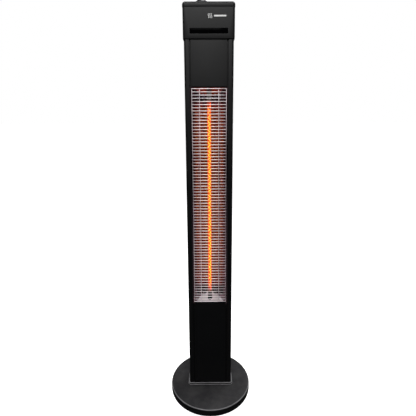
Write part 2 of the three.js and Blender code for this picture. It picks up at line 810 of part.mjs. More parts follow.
// Smoked window: a face that fills the opening, on a wider flange behind the wall.
function displayWindow() {
  const back = -headDepth / 2 + headWall + gap;
  const front = -headDepth / 2 + 0.5;
  const face = block(windowWidth - 2 * gap, back - front + 1, windowHeight - 2 * gap, 0,
    (front + back + 1) / 2, windowBottom + gap);
  const flange = block(windowWidth + 2 * windowFlange, 1.5, windowHeight + 2 * windowLip, 0,
    back + 0.75, windowBottom - windowLip);
  return face.add(flange);
}

function headBaffle() {
  const inset = 2 * (headWall + gap);
  const shape = roundedRectangle(headWidth - inset, headDepth - inset, headCorner - headWall);
  return prism(shape, baffleThickness, headOverlap + gap)
    .subtract(block(40, 12, baffleThickness + 2, 0, 15, headOverlap - 1));
}

function controlBoard() {
  return block(126, boardThickness, boardHeight, 0, boardY, boardBottom);
}

function relay() {
  return block(29, 13, 16, 30, boardY + boardThickness / 2 + gap + 6.5, boardBottom + 20);
}

function heatSink() {
  const bottom = boardBottom + 6;
  const front = boardY + boardThickness / 2 + gap;
  let solid = block(34, 3, 40, -38, front + 1.5, bottom);
  for (let i = 0; i < 5; i += 1) {
    solid = solid.add(block(2, 16, 40, -54 + i * 8, front + 8, bottom));
  }
  return solid;
}

function infraredReceiver() {
  const back = boardY - boardThickness / 2 - gap;
  return block(7, 4, 7, 0, back - 2, windowCentreZ - 3.5)
    .add(crossBar(2.2, 2, 0, back - 5.5, windowCentreZ, 12));
}

function indicatorLed() {
  const back = boardY - boardThickness / 2 - gap;
  return crossBar(1.5, 6, 0, back - 6, windowCentreZ, 12);
}

// Switch housing: bezel on the cap and a body hanging through it, hollow for the rocker.
const rockerPivotZ = capTopZ + gap + bezelThickness - 1.5;

function switchHousing() {
  const seat = capTopZ + gap;
  const bodyLength = bezelLength - bezelMargin - 2 * gap;
  const bodyWidth = bezelWidth - bezelMargin - 2 * gap;
  const body = block(bodyLength, bodyWidth, switchBodyDepth + 1, 0, 0, seat - switchBodyDepth);
  const bezel = cushionBlock(bezelLength, bezelWidth, bezelThickness, 3, 1, seat);
  const well = block(2 * (rockerRadius + gap), rockerWidth + 2 * gap, 12 + bezelThickness, 0, 0,
    seat + bezelThickness - 12);
  return body.add(bezel).subtract(well);
}

// Rocker: ends on an arc about its pivot, two finger faces meeting in a shallow valley.
function rocker() {
  const end = THREE.MathUtils.degToRad(rockerEndAngle);
  const low = THREE.MathUtils.degToRad(20);
  const valley = 4;
  const shape = new THREE.Shape();
  shape.moveTo(0, -6.5);
  shape.lineTo(rockerRadius * Math.cos(low), -rockerRadius * Math.sin(low));
  shape.absarc(0, 0, rockerRadius, -low, end);
  shape.lineTo(0, valley);
  shape.absarc(0, 0, rockerRadius, Math.PI - end, Math.PI + low);
  return plate(shape, rockerWidth, -rockerWidth / 2);
}

function buildHead() {
  part(headGroup, 'head_shell', headShell(), finishes.headPlastic);
  part(headGroup, 'head_cap', headCap(), finishes.headPlastic, [0, 0, capBottomZ]);
  part(headGroup, 'head_baffle', headBaffle(), finishes.zincSteel);
  part(headGroup, 'display_window', displayWindow(), finishes.glossBlack);
  part(headGroup, 'control_board', controlBoard(), finishes.circuitBoard);
  part(headGroup, 'relay', relay(), finishes.componentPlastic);
  part(headGroup, 'heat_sink', heatSink(), finishes.mirrorAluminium);
  part(headGroup, 'infrared_receiver', infraredReceiver(), finishes.componentPlastic);
  [-12, 12].forEach((x, i) => {
    part(headGroup, `indicator_led_${i + 1}`, indicatorLed(), finishes.indicatorLens, [x, 0, 0]);
  });
  part(headGroup, 'switch_housing', switchHousing(), finishes.switchPlastic, [rockerX, rockerY, 0]);
  const lever = part(headGroup, 'switch_rocker', rocker(), finishes.switchPlastic,
    [rockerX, rockerY, rockerPivotZ]);
  lever.rotation.y = THREE.MathUtils.degToRad(rockerTilt);
}

buildBase();
buildColumn();
buildHeater();
buildHead();

export default heater;
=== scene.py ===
"""Finished looks of a free-standing column heater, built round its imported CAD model.

The file is laid out as an add-on: property groups hold the sizes, colours and lights that a user
would change, and each piece or group of like pieces has its own operator. Lengths are in metres.
"""

import json
import math

import bmesh
import bpy
from bpy.props import FloatProperty, FloatVectorProperty, IntProperty, PointerProperty
from mathutils import Matrix, Vector


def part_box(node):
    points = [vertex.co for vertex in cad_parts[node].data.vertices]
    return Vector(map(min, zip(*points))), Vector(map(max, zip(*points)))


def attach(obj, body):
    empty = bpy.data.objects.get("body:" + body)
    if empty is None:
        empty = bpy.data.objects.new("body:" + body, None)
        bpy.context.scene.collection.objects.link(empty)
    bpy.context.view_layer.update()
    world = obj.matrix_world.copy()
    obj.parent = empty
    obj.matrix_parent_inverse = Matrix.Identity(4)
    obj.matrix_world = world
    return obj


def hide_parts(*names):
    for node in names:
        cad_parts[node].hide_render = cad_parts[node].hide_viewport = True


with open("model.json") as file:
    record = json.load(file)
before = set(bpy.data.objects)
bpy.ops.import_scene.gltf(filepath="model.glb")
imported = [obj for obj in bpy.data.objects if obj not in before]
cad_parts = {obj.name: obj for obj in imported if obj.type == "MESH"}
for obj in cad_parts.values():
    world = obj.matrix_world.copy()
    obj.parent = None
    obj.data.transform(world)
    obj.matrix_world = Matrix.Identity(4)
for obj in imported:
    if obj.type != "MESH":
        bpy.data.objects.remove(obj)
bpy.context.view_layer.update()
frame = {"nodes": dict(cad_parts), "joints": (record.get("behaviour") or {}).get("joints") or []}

bl_info = {
    "name": "Column Heater Looks",
    "version": (1, 0, 0),
    "blender": (4, 5, 0),
    "location": "3D View > Sidebar > Heater",
    "description": "Builds the visible pieces, finishes and studio of an outdoor column heater",
    "category": "Object",
}

MM = 0.001
TURN = 2 * math.pi
STEADY = "heater"
ROCKER = "rocker"
PLUNGER = "plunger"
NEAR = 1e-6  # points closer than this count as level
WELD = 1e-7  # points closer than this are joined
TROUGH_HALF = 54 * MM
WINDOW_FLANGE = (3 * MM, 1.2 * MM)  # hidden margin of the window, sideways and upright


# ------------------------------------------------------------------ settings


class HeaterSizes(bpy.types.PropertyGroup):
    """Sizes of the fine pieces that the CAD model only blocks out"""

    base_edge: FloatProperty(
        name="Base edge", description="Radius of the base cover's rim", default=0.004, unit="LENGTH")
    sheet: FloatProperty(
        name="Sheet", description="Thickness of the folded panels", default=0.0012, unit="LENGTH")
    post_wall: FloatProperty(
        name="Post wall", description="Wall of the two column posts", default=0.0016, unit="LENGTH")
    post_corner: FloatProperty(
        name="Post corner", description="Outer corner radius of the posts", default=0.0065, unit="LENGTH")
    cap_edge: FloatProperty(
        name="Cap edge", description="Radius over the head cap's top edge", default=0.011, unit="LENGTH")
    head_corner: FloatProperty(
        name="Head corner", description="Upright corner radius of the head", default=0.008, unit="LENGTH")
    head_wall: FloatProperty(
        name="Head wall", description="Wall of the moulded head", default=0.0022, unit="LENGTH")
    wire: FloatProperty(
        name="Guard wire", description="Diameter of the guard's wires", default=0.0026, unit="LENGTH")
    wire_pitch: FloatProperty(
        name="Wire pitch", description="Distance between the guard's cross wires", default=0.010,
        unit="LENGTH")
    coil_pitch: FloatProperty(
        name="Coil pitch", description="Rise of one turn of the heating element", default=0.014,
        unit="LENGTH")
    reflector_facets: IntProperty(
        name="Reflector facets", description="Flat bends across the reflector", default=7)


class HeaterColours(bpy.types.PropertyGroup):
    """Base colours of the finishes"""

    # The column coat is a near-black copy of the base's powder coat, about ten times darker: painted shade
    # down the column.
    column: FloatVectorProperty(
        name="Column coat", description="Powder coat of the column", subtype="COLOR",
        default=(0.0012, 0.0012, 0.0015))
    base: FloatVectorProperty(
        name="Base coat", description="Powder coat of the base and collar", subtype="COLOR",
        default=(0.0135, 0.0132, 0.0150))
    head: FloatVectorProperty(
        name="Head plastic", description="Moulded plastic of the head", subtype="COLOR",
        default=(0.0065, 0.0065, 0.0067))
    glow_core: FloatVectorProperty(
        name="Element core", description="Colour of the hottest part of the element", subtype="COLOR",
        default=(1.0, 0.60, 0.045))
    glow_skin: FloatVectorProperty(
        name="Element skin", description="Colour of the glow on the quartz", subtype="COLOR",
        default=(1.0, 0.10, 0.012))


class HeaterStudio(bpy.types.PropertyGroup):
    """Lights and glow"""

    key: FloatProperty(name="Key", description="Softbox high in front", default=60.0, unit="POWER")
    top: FloatProperty(name="Top", description="Light on the base from above", default=18.0, unit="POWER")
    back: FloatProperty(name="Back", description="Fill light behind", default=26.0, unit="POWER")
    sky: FloatProperty(name="Sky", description="Brightness of the room above", default=0.1)
    glow: FloatProperty(name="Glow", description="Strength of the element's light", default=1.5)


def sizes():
    return bpy.context.scene.heater_sizes


def colours():
    return bpy.context.scene.heater_colours


# ------------------------------------------------------------------ mesh tools


def arc(x, z, radius, start, end, steps):
    """Points on an arc, in degrees."""
    points = []
    for i in range(steps + 1):
        angle = math.radians(start + (end - start) * i / steps)
        points.append((x + radius * math.cos(angle), z + radius * math.sin(angle)))
    return points


def close_up(bm):
    bmesh.ops.remove_doubles(bm, verts=bm.verts, dist=WELD)
    bmesh.ops.recalc_face_normals(bm, faces=bm.faces)
    return bm


def turned(profile, steps, closed=False):
    """A profile of (radius, z) points spun about the z axis."""
    bm = bmesh.new()
    verts = [bm.verts.new((radius, 0, z)) for radius, z in profile]
    pairs = list(zip(verts, verts[1:])) + ([(verts[-1], verts[0])] if closed else [])
    edges = [bm.edges.new(pair) for pair in pairs]
    bmesh.ops.spin(
        bm, geom=verts + edges, cent=(0, 0, 0), axis=(0, 0, 1), angle=TURN, steps=steps, use_merge=True)
    bmesh.ops.dissolve_degenerate(bm, dist=WELD, edges=bm.edges)
    return close_up(bm)


def outline(points, z=0.0):
    bm = bmesh.new()
    bm.faces.new([bm.verts.new((x, y, z)) for x, y in points])
    return bm


def rectangle(width, depth, z=0.0):
    x, y = width / 2, depth / 2
    return outline([(-x, -y), (x, -y), (x, y), (-x, y)], z)


def round_points(bm, radius, steps, chosen=lambda co: True):
    """Rounds the corners of a flat outline."""
    verts = [v for v in bm.verts if chosen(v.co)]
    bmesh.ops.bevel(
        bm, geom=verts, offset=radius, offset_type="OFFSET", segments=steps, profile=0.5,
        affect="VERTICES", material=-1)
    return bm


def raised(bm, height):
    """Extrudes every face of a flat outline into a closed solid."""
    made = bmesh.ops.extrude_face_region(bm, geom=list(bm.faces))["geom"]
    verts = [item for item in made if isinstance(item, bmesh.types.BMVert)]
    bmesh.ops.translate(bm, verts=verts, vec=(0, 0, height))
    bmesh.ops.recalc_face_normals(bm, faces=bm.faces)
    return bm


def soften(bm, radius, steps=2, chosen=lambda edge: True):
    """Rounds over the chosen edges."""
    edges = [edge for edge in bm.edges if chosen(edge)]
    bmesh.ops.bevel(
        bm, geom=edges, offset=radius, offset_type="OFFSET", segments=steps, profile=0.5,
        affect="EDGES", clamp_overlap=True, material=-1)
    return bm


def at_height(z):
    """Chooses the edges that lie flat at one height."""
    return lambda edge: all(abs(v.co.z - z) < NEAR for v in edge.verts)


def sharp(degrees):
    """Chooses the edges where two faces meet at more than an angle."""
    limit = math.radians(degrees)
    return lambda edge: len(edge.link_faces) == 2 and edge.calc_face_angle(0) > limit


def block(low, high, radius=0.0, steps=2):
    low, high = Vector(low), Vector(high)
    bm = bmesh.new()
    bmesh.ops.create_cube(bm, size=1, matrix=Matrix.LocRotScale((low + high) / 2, None, high - low))
    return soften(bm, radius, steps) if radius else bm


def slab(width, depth, z0, z1, corner, top_edge=0.0, bottom_edge=0.0, steps=8):
    """A block with round upright corners and, if wanted, rounded top and bottom edges."""
    bm = round_points(rectangle(width, depth, z0), corner, steps)
    raised(bm, z1 - z0)
    if top_edge:
        soften(bm, top_edge, steps, at_height(z1))
    if bottom_edge:
        soften(bm, bottom_edge, 3, at_height(z0))
    return bm


def bar(radius, length, sides, edge=0.0):
    """A round bar from z = 0 up."""
    bm = bmesh.new()
    bmesh.ops.create_circle(bm, cap_ends=True, segments=sides, radius=radius)
    raised(bm, length)
    return soften(bm, edge, 2, sharp(60)) if edge else bm


def moved(bm, x=0.0, y=0.0, z=0.0):
    bmesh.ops.translate(bm, verts=bm.verts, vec=(x, y, z))
    return bm


def turned_over(bm, degrees, axis):
    bmesh.ops.rotate(bm, verts=bm.verts, matrix=Matrix.Rotation(math.radians(degrees), 3, axis))
    return bm


def merged(*parts):
    """Several bmeshes as one."""
    whole = bmesh.new()
    for part in parts:
        mesh = bpy.data.meshes.new("part")
        part.to_mesh(mesh)
        part.free()
        whole.from_mesh(mesh)
        bpy.data.meshes.remove(mesh)
    return whole


def mesh_object(name, bm):
    close_up(bm)
    mesh = bpy.data.meshes.new(name)
    bm.to_mesh(mesh)
    bm.free()
    made = bpy.data.objects.new(name, mesh)
    bpy.context.scene.collection.objects.link(made)
    return made


def taken(made):
    """The mesh of an object as a bmesh. The object is removed."""
    bm = bmesh.new()
    bm.from_mesh(made.data)
    bpy.data.meshes.remove(made.data)
    return bm


def cut(made, *tools):
    """Cuts tool solids out of an object and keeps the result as its mesh."""
    cutter = mesh_object("cutter", merged(*tools))
    modifier = made.modifiers.new("cut", "BOOLEAN")
    modifier.object = cutter
    modifier.operation = "DIFFERENCE"
    modifier.solver = "EXACT"
    graph = bpy.context.evaluated_depsgraph_get()
    mesh = bpy.data.meshes.new_from_object(made.evaluated_get(graph))
    old, tool_mesh = made.data, cutter.data
    made.modifiers.clear()
    made.data = mesh
    bpy.data.objects.remove(cutter)
    bpy.data.meshes.remove(tool_mesh)
    bpy.data.meshes.remove(old)


def finished(made, finish, slot, body=STEADY, replaces=()):
    """Gives a piece its finish, its shading and its place in the frame."""
    mesh = made.data
    mesh.materials.clear()
    mesh.materials.append(FINISHES[finish])
    mesh.polygons.foreach_set("use_smooth", [True] * len(mesh.polygons))
    mesh.set_sharp_from_angle(angle=math.radians(35))
    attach(made, body)
    if replaces:
        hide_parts(*replaces)


def piece(name, bm, finish, slot, **options):
    finished(mesh_object(name, bm), finish, slot, **options)


def middle(node):
    low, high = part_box(node)
    return (low + high) / 2


# ------------------------------------------------------------------ shader tools


def feed(tree, sockets, values):
    """Sets input sockets by name or number, or links other sockets into them."""
    for key, value in values.items():
        if isinstance(value, bpy.types.NodeSocket):
            tree.links.new(value, sockets[key])
        else:
            sockets[key].default_value = value


def add(tree, kind, inputs=None, **settings):
    """A node with its settings and its inputs."""
    node = tree.nodes.new(kind)
    for key, value in settings.items():
        setattr(node, key, value)
    feed(tree, node.inputs, inputs or {})
    return node


def math_node(tree, operation, a, b=0.0):
    return add(tree, "ShaderNodeMath", {0: a, 1: b}, operation=operation).outputs[0]


def times(tree, a, b):
    return math_node(tree, "MULTIPLY", a, b)


def plus(tree, a, b):
    return math_node(tree, "ADD", a, b)


def mapped(tree, value, low, high, to_low=0.0, to_high=1.0):
    inputs = {"Value": value, "From Min": low, "From Max": high, "To Min": to_low, "To Max": to_high}
    return add(tree, "ShaderNodeMapRange", inputs).outputs["Result"]


def mix_colour(tree, factor, a, b, blend="MIX"):
    inputs = {0: factor, 6: a, 7: b}
    return add(tree, "ShaderNodeMix", inputs, data_type="RGBA", blend_type=blend).outputs[2]


def toned(tree, colour, value, low, high):
    """A colour made darker and lighter by a noise."""
    lift = mapped(tree, value, 0.3, 0.7, low, high)
    return add(tree, "ShaderNodeHueSaturation", {"Color": colour, "Value": lift}).outputs[0]


def noise(tree, place, scale, detail=2.0, roughness=0.5, stretch=None):
    if stretch:
        place = add(tree, "ShaderNodeMapping", {"Vector": place, "Scale": stretch}).outputs[0]
    inputs = {"Vector": place, "Scale": scale, "Detail": detail, "Roughness": roughness}
    return add(tree, "ShaderNodeTexNoise", inputs).outputs["Fac"]


def object_place(tree):
    return add(tree, "ShaderNodeTexCoord").outputs["Object"]


def axes(tree, vector):
    return add(tree, "ShaderNodeSeparateXYZ", {0: vector}).outputs


# ------------------------------------------------------------------ shader groups


NUMBER, COLOUR = "NodeSocketFloat", "NodeSocketColor"
BLACK = (0.0, 0.0, 0.0, 1.0)
GROUPS = {}


def new_group(name, inputs, outputs):
    """An empty shader node group with named sockets: (name, kind, default) and (name, kind)."""
    tree = bpy.data.node_groups.new(name, "ShaderNodeTree")
    for label, kind, default in inputs:
        socket = tree.interface.new_socket(name=label, in_out="INPUT", socket_type=kind)
        socket.default_value = default
    for label, kind in outputs:
        tree.interface.new_socket(name=label, in_out="OUTPUT", socket_type=kind)
    return tree, tree.nodes.new("NodeGroupInput").outputs, tree.nodes.new("NodeGroupOutput").inputs


def grain_group(name, extra, default):
    """A group for the colour, roughness and height of a grained surface, with one input of its own."""
    return new_group(
        name, [("Color", COLOUR, BLACK), ("Roughness", NUMBER, 0.5), (extra, NUMBER, default)],
        [("Color", COLOUR), ("Roughness", NUMBER), ("Height", NUMBER)])


def powder_grain_group():
    """Cured powder coat: orange peel, fine flecks and slow changes of shade."""
    tree, given, out = grain_group("Powder Grain", "Fleck", 0.3)
    place = object_place(tree)
    peel = noise(tree, place, 900)
    grit = noise(tree, place, 2600, 1.0)
    cloud = noise(tree, place, 9, 3.0)
    fleck = times(tree, mapped(tree, grit, 0.56, 0.72), given["Fleck"])
    brighter = mix_colour(tree, 1.0, given["Color"], (1.9, 1.9, 1.95, 1.0), "MULTIPLY")
    spread = mapped(tree, plus(tree, cloud, grit), 0.6, 1.4, -0.07, 0.07)
    feed(tree, out, {
        "Color": toned(tree, mix_colour(tree, fleck, given["Color"], brighter), cloud, 0.88, 1.12),
        "Roughness": plus(tree, given["Roughness"], spread),
        "Height": plus(tree, peel, times(tree, grit, 0.35))})
    return tree


def moulded_grain_group():
    """Spark-eroded mould texture: shallow pits and a faint flow pattern."""
    tree, given, out = grain_group("Moulded Grain", "Scale", 1300.0)
    place = object_place(tree)
    pits = add(tree, "ShaderNodeTexVoronoi", {"Vector": place, "Scale": given["Scale"]}).outputs["Distance"]
    flow = noise(tree, place, 14, 4.0, 0.6, (1.0, 1.0, 0.35))
    soft = noise(tree, place, 600)
    feed(tree, out, {
        "Color": toned(tree, given["Color"], flow, 0.9, 1.1),
        "Roughness": plus(tree, given["Roughness"], mapped(tree, soft, 0.3, 0.7, -0.06, 0.06)),
        "Height": plus(tree, pits, times(tree, soft, 0.5))})
    return tree


def rolled_metal_group():
    """Rolling or drawing lines along z, with slow changes of shade and roughness."""
    tree, given, out = grain_group("Rolled Metal", "Lines", 1.0)
    place = object_place(tree)
    lines = noise(tree, place, 700, 3.0, 0.6, (1.0, 1.0, 0.012))
    cloud = noise(tree, place, 16, 3.0)
    shade = plus(tree, times(tree, lines, 0.5), times(tree, cloud, 0.5))
    feed(tree, out, {
        "Color": toned(tree, given["Color"], shade, 0.84, 1.1),
        "Roughness": plus(tree, given["Roughness"], mapped(tree, shade, 0.3, 0.7, -0.08, 0.08)),
        "Height": times(tree, lines, given["Lines"])})
    return tree


def dust_group():
    """Dust on upward faces and in a few loose specks."""
    tree, given, out = new_group("Settled Dust", [("Amount", NUMBER, 0.3)], [("Mask", NUMBER)])
    place = object_place(tree)
    up = axes(tree, add(tree, "ShaderNodeNewGeometry").outputs["Normal"])[2]
    drift = mapped(tree, noise(tree, place, 22, 5.0, 0.65), 0.35, 0.75)
    specks = mapped(tree, noise(tree, place, 900, 1.0), 0.68, 0.76)
    cover = plus(tree, times(tree, drift, 0.55), specks)
    mask = times(tree, times(tree, mapped(tree, up, 0.2, 1.0), cover), given["Amount"])
    feed(tree, out, {"Mask": math_node(tree, "MINIMUM", mask, 1.0)})
    return tree


def scuff_group():
    """Fine rub marks from handling and wiping."""
    tree, given, out = new_group("Rub Marks", [("Amount", NUMBER, 0.5)], [("Mask", NUMBER)])
    place = object_place(tree)
    streak = mapped(tree, noise(tree, place, 120, 4.0, 0.7, (0.25, 0.25, 1.6)), 0.58, 0.74)
    patch = mapped(tree, noise(tree, place, 6), 0.5, 0.7)
    feed(tree, out, {"Mask": times(tree, times(tree, streak, patch), given["Amount"])})
    return tree


def build_groups():
    GROUPS.update(
        powder=powder_grain_group(), moulded=moulded_grain_group(), rolled=rolled_metal_group(),
        dust=dust_group(), scuffs=scuff_group())


def group(tree, name, inputs):
    return add(tree, "ShaderNodeGroup", inputs, node_tree=GROUPS[name]).outputs


# ------------------------------------------------------------------ finishes


FINISHES = {}


def blank(name):
    """A material with its Principled shader's inputs: (material, tree, inputs)."""
    material = bpy.data.materials.new(name)
    material.use_nodes = True
    tree = material.node_tree
    return material, tree, tree.nodes["Principled BSDF"].inputs


def feeding(shader, key):
    """The socket that is linked into a shader's input."""
    return shader[key].links[0].from_socket


def bumped(tree, shader, height, strength, distance):
    bump = add(tree, "ShaderNodeBump", {"Height": height, "Strength": strength, "Distance": distance})
    feed(tree, shader, {"Normal": bump.outputs[0]})


def rgba(colour):
    return (*colour[:3], 1.0)


def glowing(tree, shader, strength, spill):
    """Emission that lights its surroundings less than it shows, so the metal round it keeps its colour."""
    seen = add(tree, "ShaderNodeLightPath").outputs["Is Camera Ray"]
    feed(tree, shader, {"Emission Strength": mapped(tree, seen, 0.0, 1.0, strength * spill, strength)})


def heated_length(tree, z, fade, reach=0.0):
    """One along the heating element, fading out over its ends and a reach beyond them."""
    low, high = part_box("filament")
    rise = mapped(tree, z, low.z - reach, low.z + fade)
    return times(tree, rise, mapped(tree, z, high.z + reach, high.z - fade))


def powder_coat(name, colour, roughness, dust, specular):
    material, tree, shader = blank(name)
    grain = group(tree, "powder", {"Color": rgba(colour), "Roughness": roughness, "Fleck": 0.5})
    settled = group(tree, "dust", {"Amount": dust})[0]
    polished = times(tree, group(tree, "scuffs", {"Amount": 0.35})[0], -0.18)
    feed(tree, shader, {
        "Base Color": mix_colour(tree, settled, grain["Color"], (0.16, 0.155, 0.15, 1.0)),
        "Roughness": plus(tree, grain["Roughness"], polished),
        "Specular IOR Level": specular})
    bumped(tree, shader, grain["Height"], 0.25, 0.06 * MM)
    return material


def moulding(name, colour, roughness, scale=1300.0, depth=0.08 * MM, specular=0.5, dust=0.2):
    material, tree, shader = blank(name)
    grain = group(tree, "moulded", {"Color": rgba(colour), "Roughness": roughness, "Scale": scale})
    settled = group(tree, "dust", {"Amount": dust})[0]
    feed(tree, shader, {
        "Base Color": mix_colour(tree, settled, grain["Color"], (0.18, 0.175, 0.17, 1.0)),
        "Roughness": grain["Roughness"],
        "Specular IOR Level": specular})
    bumped(tree, shader, grain["Height"], 0.35, depth)
    return material


def coat_with_painted_edge_light(name, colour):
    """The base's coat, with a painted highlight along its rim and the collar's upper edges, and painted shade
    on its side and on the collar's face between them.
    """
    material = powder_coat(name, colour, 0.5, 0.3, 0.26)
    tree = material.node_tree
    shader = tree.nodes["Principled BSDF"].inputs
    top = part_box("base_cover")[1]
    low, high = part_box("column_collar")
    place = object_place(tree)
    z = axes(tree, place)[2]

    def between(start, full, full_end, end):
        """One from full to full_end, fading to nothing at start and end."""
        rise = mapped(tree, z, start, full)
        return times(tree, rise, mapped(tree, z, end, full_end))

    flat = add(tree, "ShaderNodeVectorMath", {0: place, 1: (1, 1, 0)}, operation="MULTIPLY").outputs[0]
    out = add(tree, "ShaderNodeVectorMath", {0: flat}, operation="LENGTH").outputs["Value"]
    # Painted highlight: lighter colour in bands on the base's rounded rim and on the collar's two upper
    # edges, broken up by a noise.
    rim = times(tree, mapped(tree, out, top.x - 3.6 * MM, top.x - 2.4 * MM),
                mapped(tree, z, top.z - 2.6 * MM, top.z - 1.2 * MM))
    crown = mapped(tree, z, high.z - 1.3 * MM, high.z - 0.6 * MM)
    shelf = between(low.z + 1.5 * MM, low.z + 2.1 * MM, low.z + 2.5 * MM, low.z + 3.0 * MM)
    groove = between(low.z + 2.6 * MM, low.z + 3.2 * MM, high.z - 1.8 * MM, high.z - 1.2 * MM)
    highlight_patchiness = mapped(tree, noise(tree, place, 30, 3.0), 0.3, 0.6, 0.6, 1.0)
    painted_highlight = times(tree, plus(tree, rim, plus(tree, crown, shelf)), highlight_patchiness)
    # Painted shade: near-black colour and full roughness on the base's side wall and on the collar's face
    # between its steps.
    painted_shade = math_node(tree, "MAXIMUM", groove, mapped(tree, z, top.z - 3.2 * MM, top.z - 4.4 * MM))
    shaded_colour = mix_colour(tree, painted_shade, feeding(shader, "Base Color"), (0.001, 0.001, 0.001, 1))
    feed(tree, shader, {
        "Base Color": mix_colour(tree, painted_highlight, shaded_colour, (0.19, 0.188, 0.195, 1)),
        "Roughness": math_node(tree, "MAXIMUM", feeding(shader, "Roughness"), painted_shade)})
    return material


def metal(name, colour, roughness, lines=1.0, tint=None):
    """Bare metal. A tint is laid over it in slow bands: the colour that heat or plating leaves on the zinc
    and the heated steel, and a painted reflection of the element's glow on the mirror sheet.
    """
    material, tree, shader = blank(name)
    grain = group(tree, "rolled", {"Color": rgba(colour), "Roughness": roughness, "Lines": lines})
    surface = grain["Color"]
    if tint:
        bands = noise(tree, object_place(tree), 7, 3.0, 0.55, (1.0, 1.0, 0.6))
        surface = mix_colour(tree, mapped(tree, bands, 0.35, 0.65), surface, rgba(tint))
    feed(tree, shader, {"Base Color": surface, "Roughness": grain["Roughness"], "Metallic": 1.0})
    bumped(tree, shader, grain["Height"], 0.2, 0.03 * MM)
    return material


def wire_with_painted_glow(name, colour, glow):
    """Plated wire with a painted glow of the lamp where it crosses in front of it."""
    material = metal(name, colour, 0.42, 0.3)
    tree = material.node_tree
    shader = tree.nodes["Principled BSDF"].inputs
    place = axes(tree, object_place(tree))
    off_axis = math_node(tree, "ABSOLUTE", math_node(tree, "SUBTRACT", place[0], middle("filament").x))
    near = mapped(tree, off_axis, 10 * MM, 2 * MM)
    lit = times(tree, near, heated_length(tree, place[2], 50 * MM))
    # Painted glow: emission and a redder colour on the wire in front of the element.
    feed(tree, shader, {
        "Emission Color": mix_colour(tree, lit, (1.0, 0.03, 0.02, 1), rgba(glow)),
        "Emission Strength": times(tree, lit, 0.75),
        "Base Color": mix_colour(tree, lit, feeding(shader, "Base Color"), (0.25, 0.05, 0.02, 1))})
    return material


def rubber(name):
    material, tree, shader = blank(name)
    place = object_place(tree)
    bloom = noise(tree, place, 60, 4.0)
    shades = (0.010, 0.010, 0.010, 1), (0.024, 0.023, 0.022, 1)
    feed(tree, shader, {
        "Base Color": mix_colour(tree, mapped(tree, bloom, 0.4, 0.7), *shades),
        "Roughness": mapped(tree, bloom, 0.3, 0.7, 0.7, 0.9)})
    bumped(tree, shader, noise(tree, place, 2200), 0.4, 0.08 * MM)
    return material


def ceramic(name):
    material, tree, shader = blank(name)
    place = object_place(tree)
    body = noise(tree, place, 320, 5.0, 0.6)
    soot = times(tree, mapped(tree, noise(tree, place, 70, 4.0), 0.5, 0.75), 0.6)
    shade = mix_colour(tree, mapped(tree, body, 0.3, 0.7), (0.10, 0.09, 0.08, 1), (0.16, 0.145, 0.125, 1))
    feed(tree, shader, {
        "Base Color": mix_colour(tree, soot, shade, (0.05, 0.035, 0.025, 1)),
        "Roughness": mapped(tree, body, 0.3, 0.7, 0.6, 0.8)})
    bumped(tree, shader, body, 0.3, 0.1 * MM)
    return material


def smoked_acrylic(name):
    material, tree, shader = blank(name)
    place = object_place(tree)
    haze = noise(tree, place, 40, 4.0)
    shades = (0.0009, 0.0009, 0.0011, 1), (0.0016, 0.0016, 0.0018, 1)
    feed(tree, shader, {
        "Base Color": mix_colour(tree, mapped(tree, haze, 0.4, 0.7), *shades),
        "Roughness": mapped(tree, haze, 0.3, 0.7, 0.12, 0.2),
        "Specular IOR Level": 0.006})
    bumped(tree, shader, noise(tree, place, 90), 0.1, 0.04 * MM)
    return material


def quartz(name, skin, strength):
    """Clear tube with a gold heat filter, lit from inside by the element."""
    material, tree, shader = blank(name)
    place = object_place(tree)
    fume = noise(tree, place, 60, 3.0, 0.6, (1.0, 1.0, 0.3))
    edge = add(tree, "ShaderNodeLayerWeight", {"Blend": 0.35}).outputs["Facing"]
    lit = heated_length(tree, axes(tree, place)[2], 30 * MM, 15 * MM)
    rim = mapped(tree, edge, 0.1, 0.9, 0.10, 0.6)
    feed(tree, shader, {
        "Base Color": (0.30, 0.12, 0.05, 1),
        "Specular IOR Level": 0.25,
        "Roughness": mapped(tree, fume, 0.3, 0.7, 0.04, 0.12),
        "Alpha": plus(tree, rim, mapped(tree, fume, 0.3, 0.7, 0.0, 0.06)),
        "Emission Color": mix_colour(tree, lit, (0.02, 0.004, 0.001, 1), rgba(skin))})
    glowing(tree, shader, strength, 0.12)
    return material


def element_glow(name, core, strength):
    """The heating element: yellow-hot in the middle of its length, redder at its ends."""
    material, tree, shader = blank(name)
    place = object_place(tree)
    flicker = mapped(tree, noise(tree, place, 90, 2.0, 0.5, (0.3, 0.3, 1.0)), 0.3, 0.7, 0.55, 1.0)
    heat = times(tree, heated_length(tree, axes(tree, place)[2], 45 * MM), flicker)
    feed(tree, shader, {
        "Emission Color": mix_colour(tree, heat, (0.75, 0.045, 0.02, 1), rgba(core)),
        "Base Color": mix_colour(tree, heat, (0.2, 0.02, 0.01, 1), (0.5, 0.2, 0.03, 1))})
    glowing(tree, shader, strength, 0.2)
    return material


def circuit_board(name):
    material, tree, shader = blank(name)
    place = object_place(tree)
    upright = add(tree, "ShaderNodeMapping", {"Vector": place, "Rotation": (math.pi / 2, 0, 0)}).outputs[0]
    tracks = add(tree, "ShaderNodeTexBrick", {
        "Vector": upright, "Color1": (0.02, 0.10, 0.04, 1), "Color2": (0.025, 0.13, 0.05, 1),
        "Mortar": (0.05, 0.22, 0.09, 1), "Scale": 120.0, "Mortar Size": 0.06}).outputs["Color"]
    roughness = mapped(tree, noise(tree, place, 200), 0.3, 0.7, 0.3, 0.45)
    feed(tree, shader, {"Base Color": tracks, "Roughness": roughness})
    bumped(tree, shader, tracks, 0.2, 0.05 * MM)
    return material


def lens(name, colour):
    material, tree, shader = blank(name)
    speck = mapped(tree, noise(tree, object_place(tree), 700), 0.3, 0.7)
    feed(tree, shader, {
        "Base Color": mix_colour(tree, speck, rgba(colour), rgba([c * 0.6 for c in colour])),
        "Roughness": mapped(tree, speck, 0.0, 1.0, 0.12, 0.25),
        "Transmission Weight": 0.4})
    return material


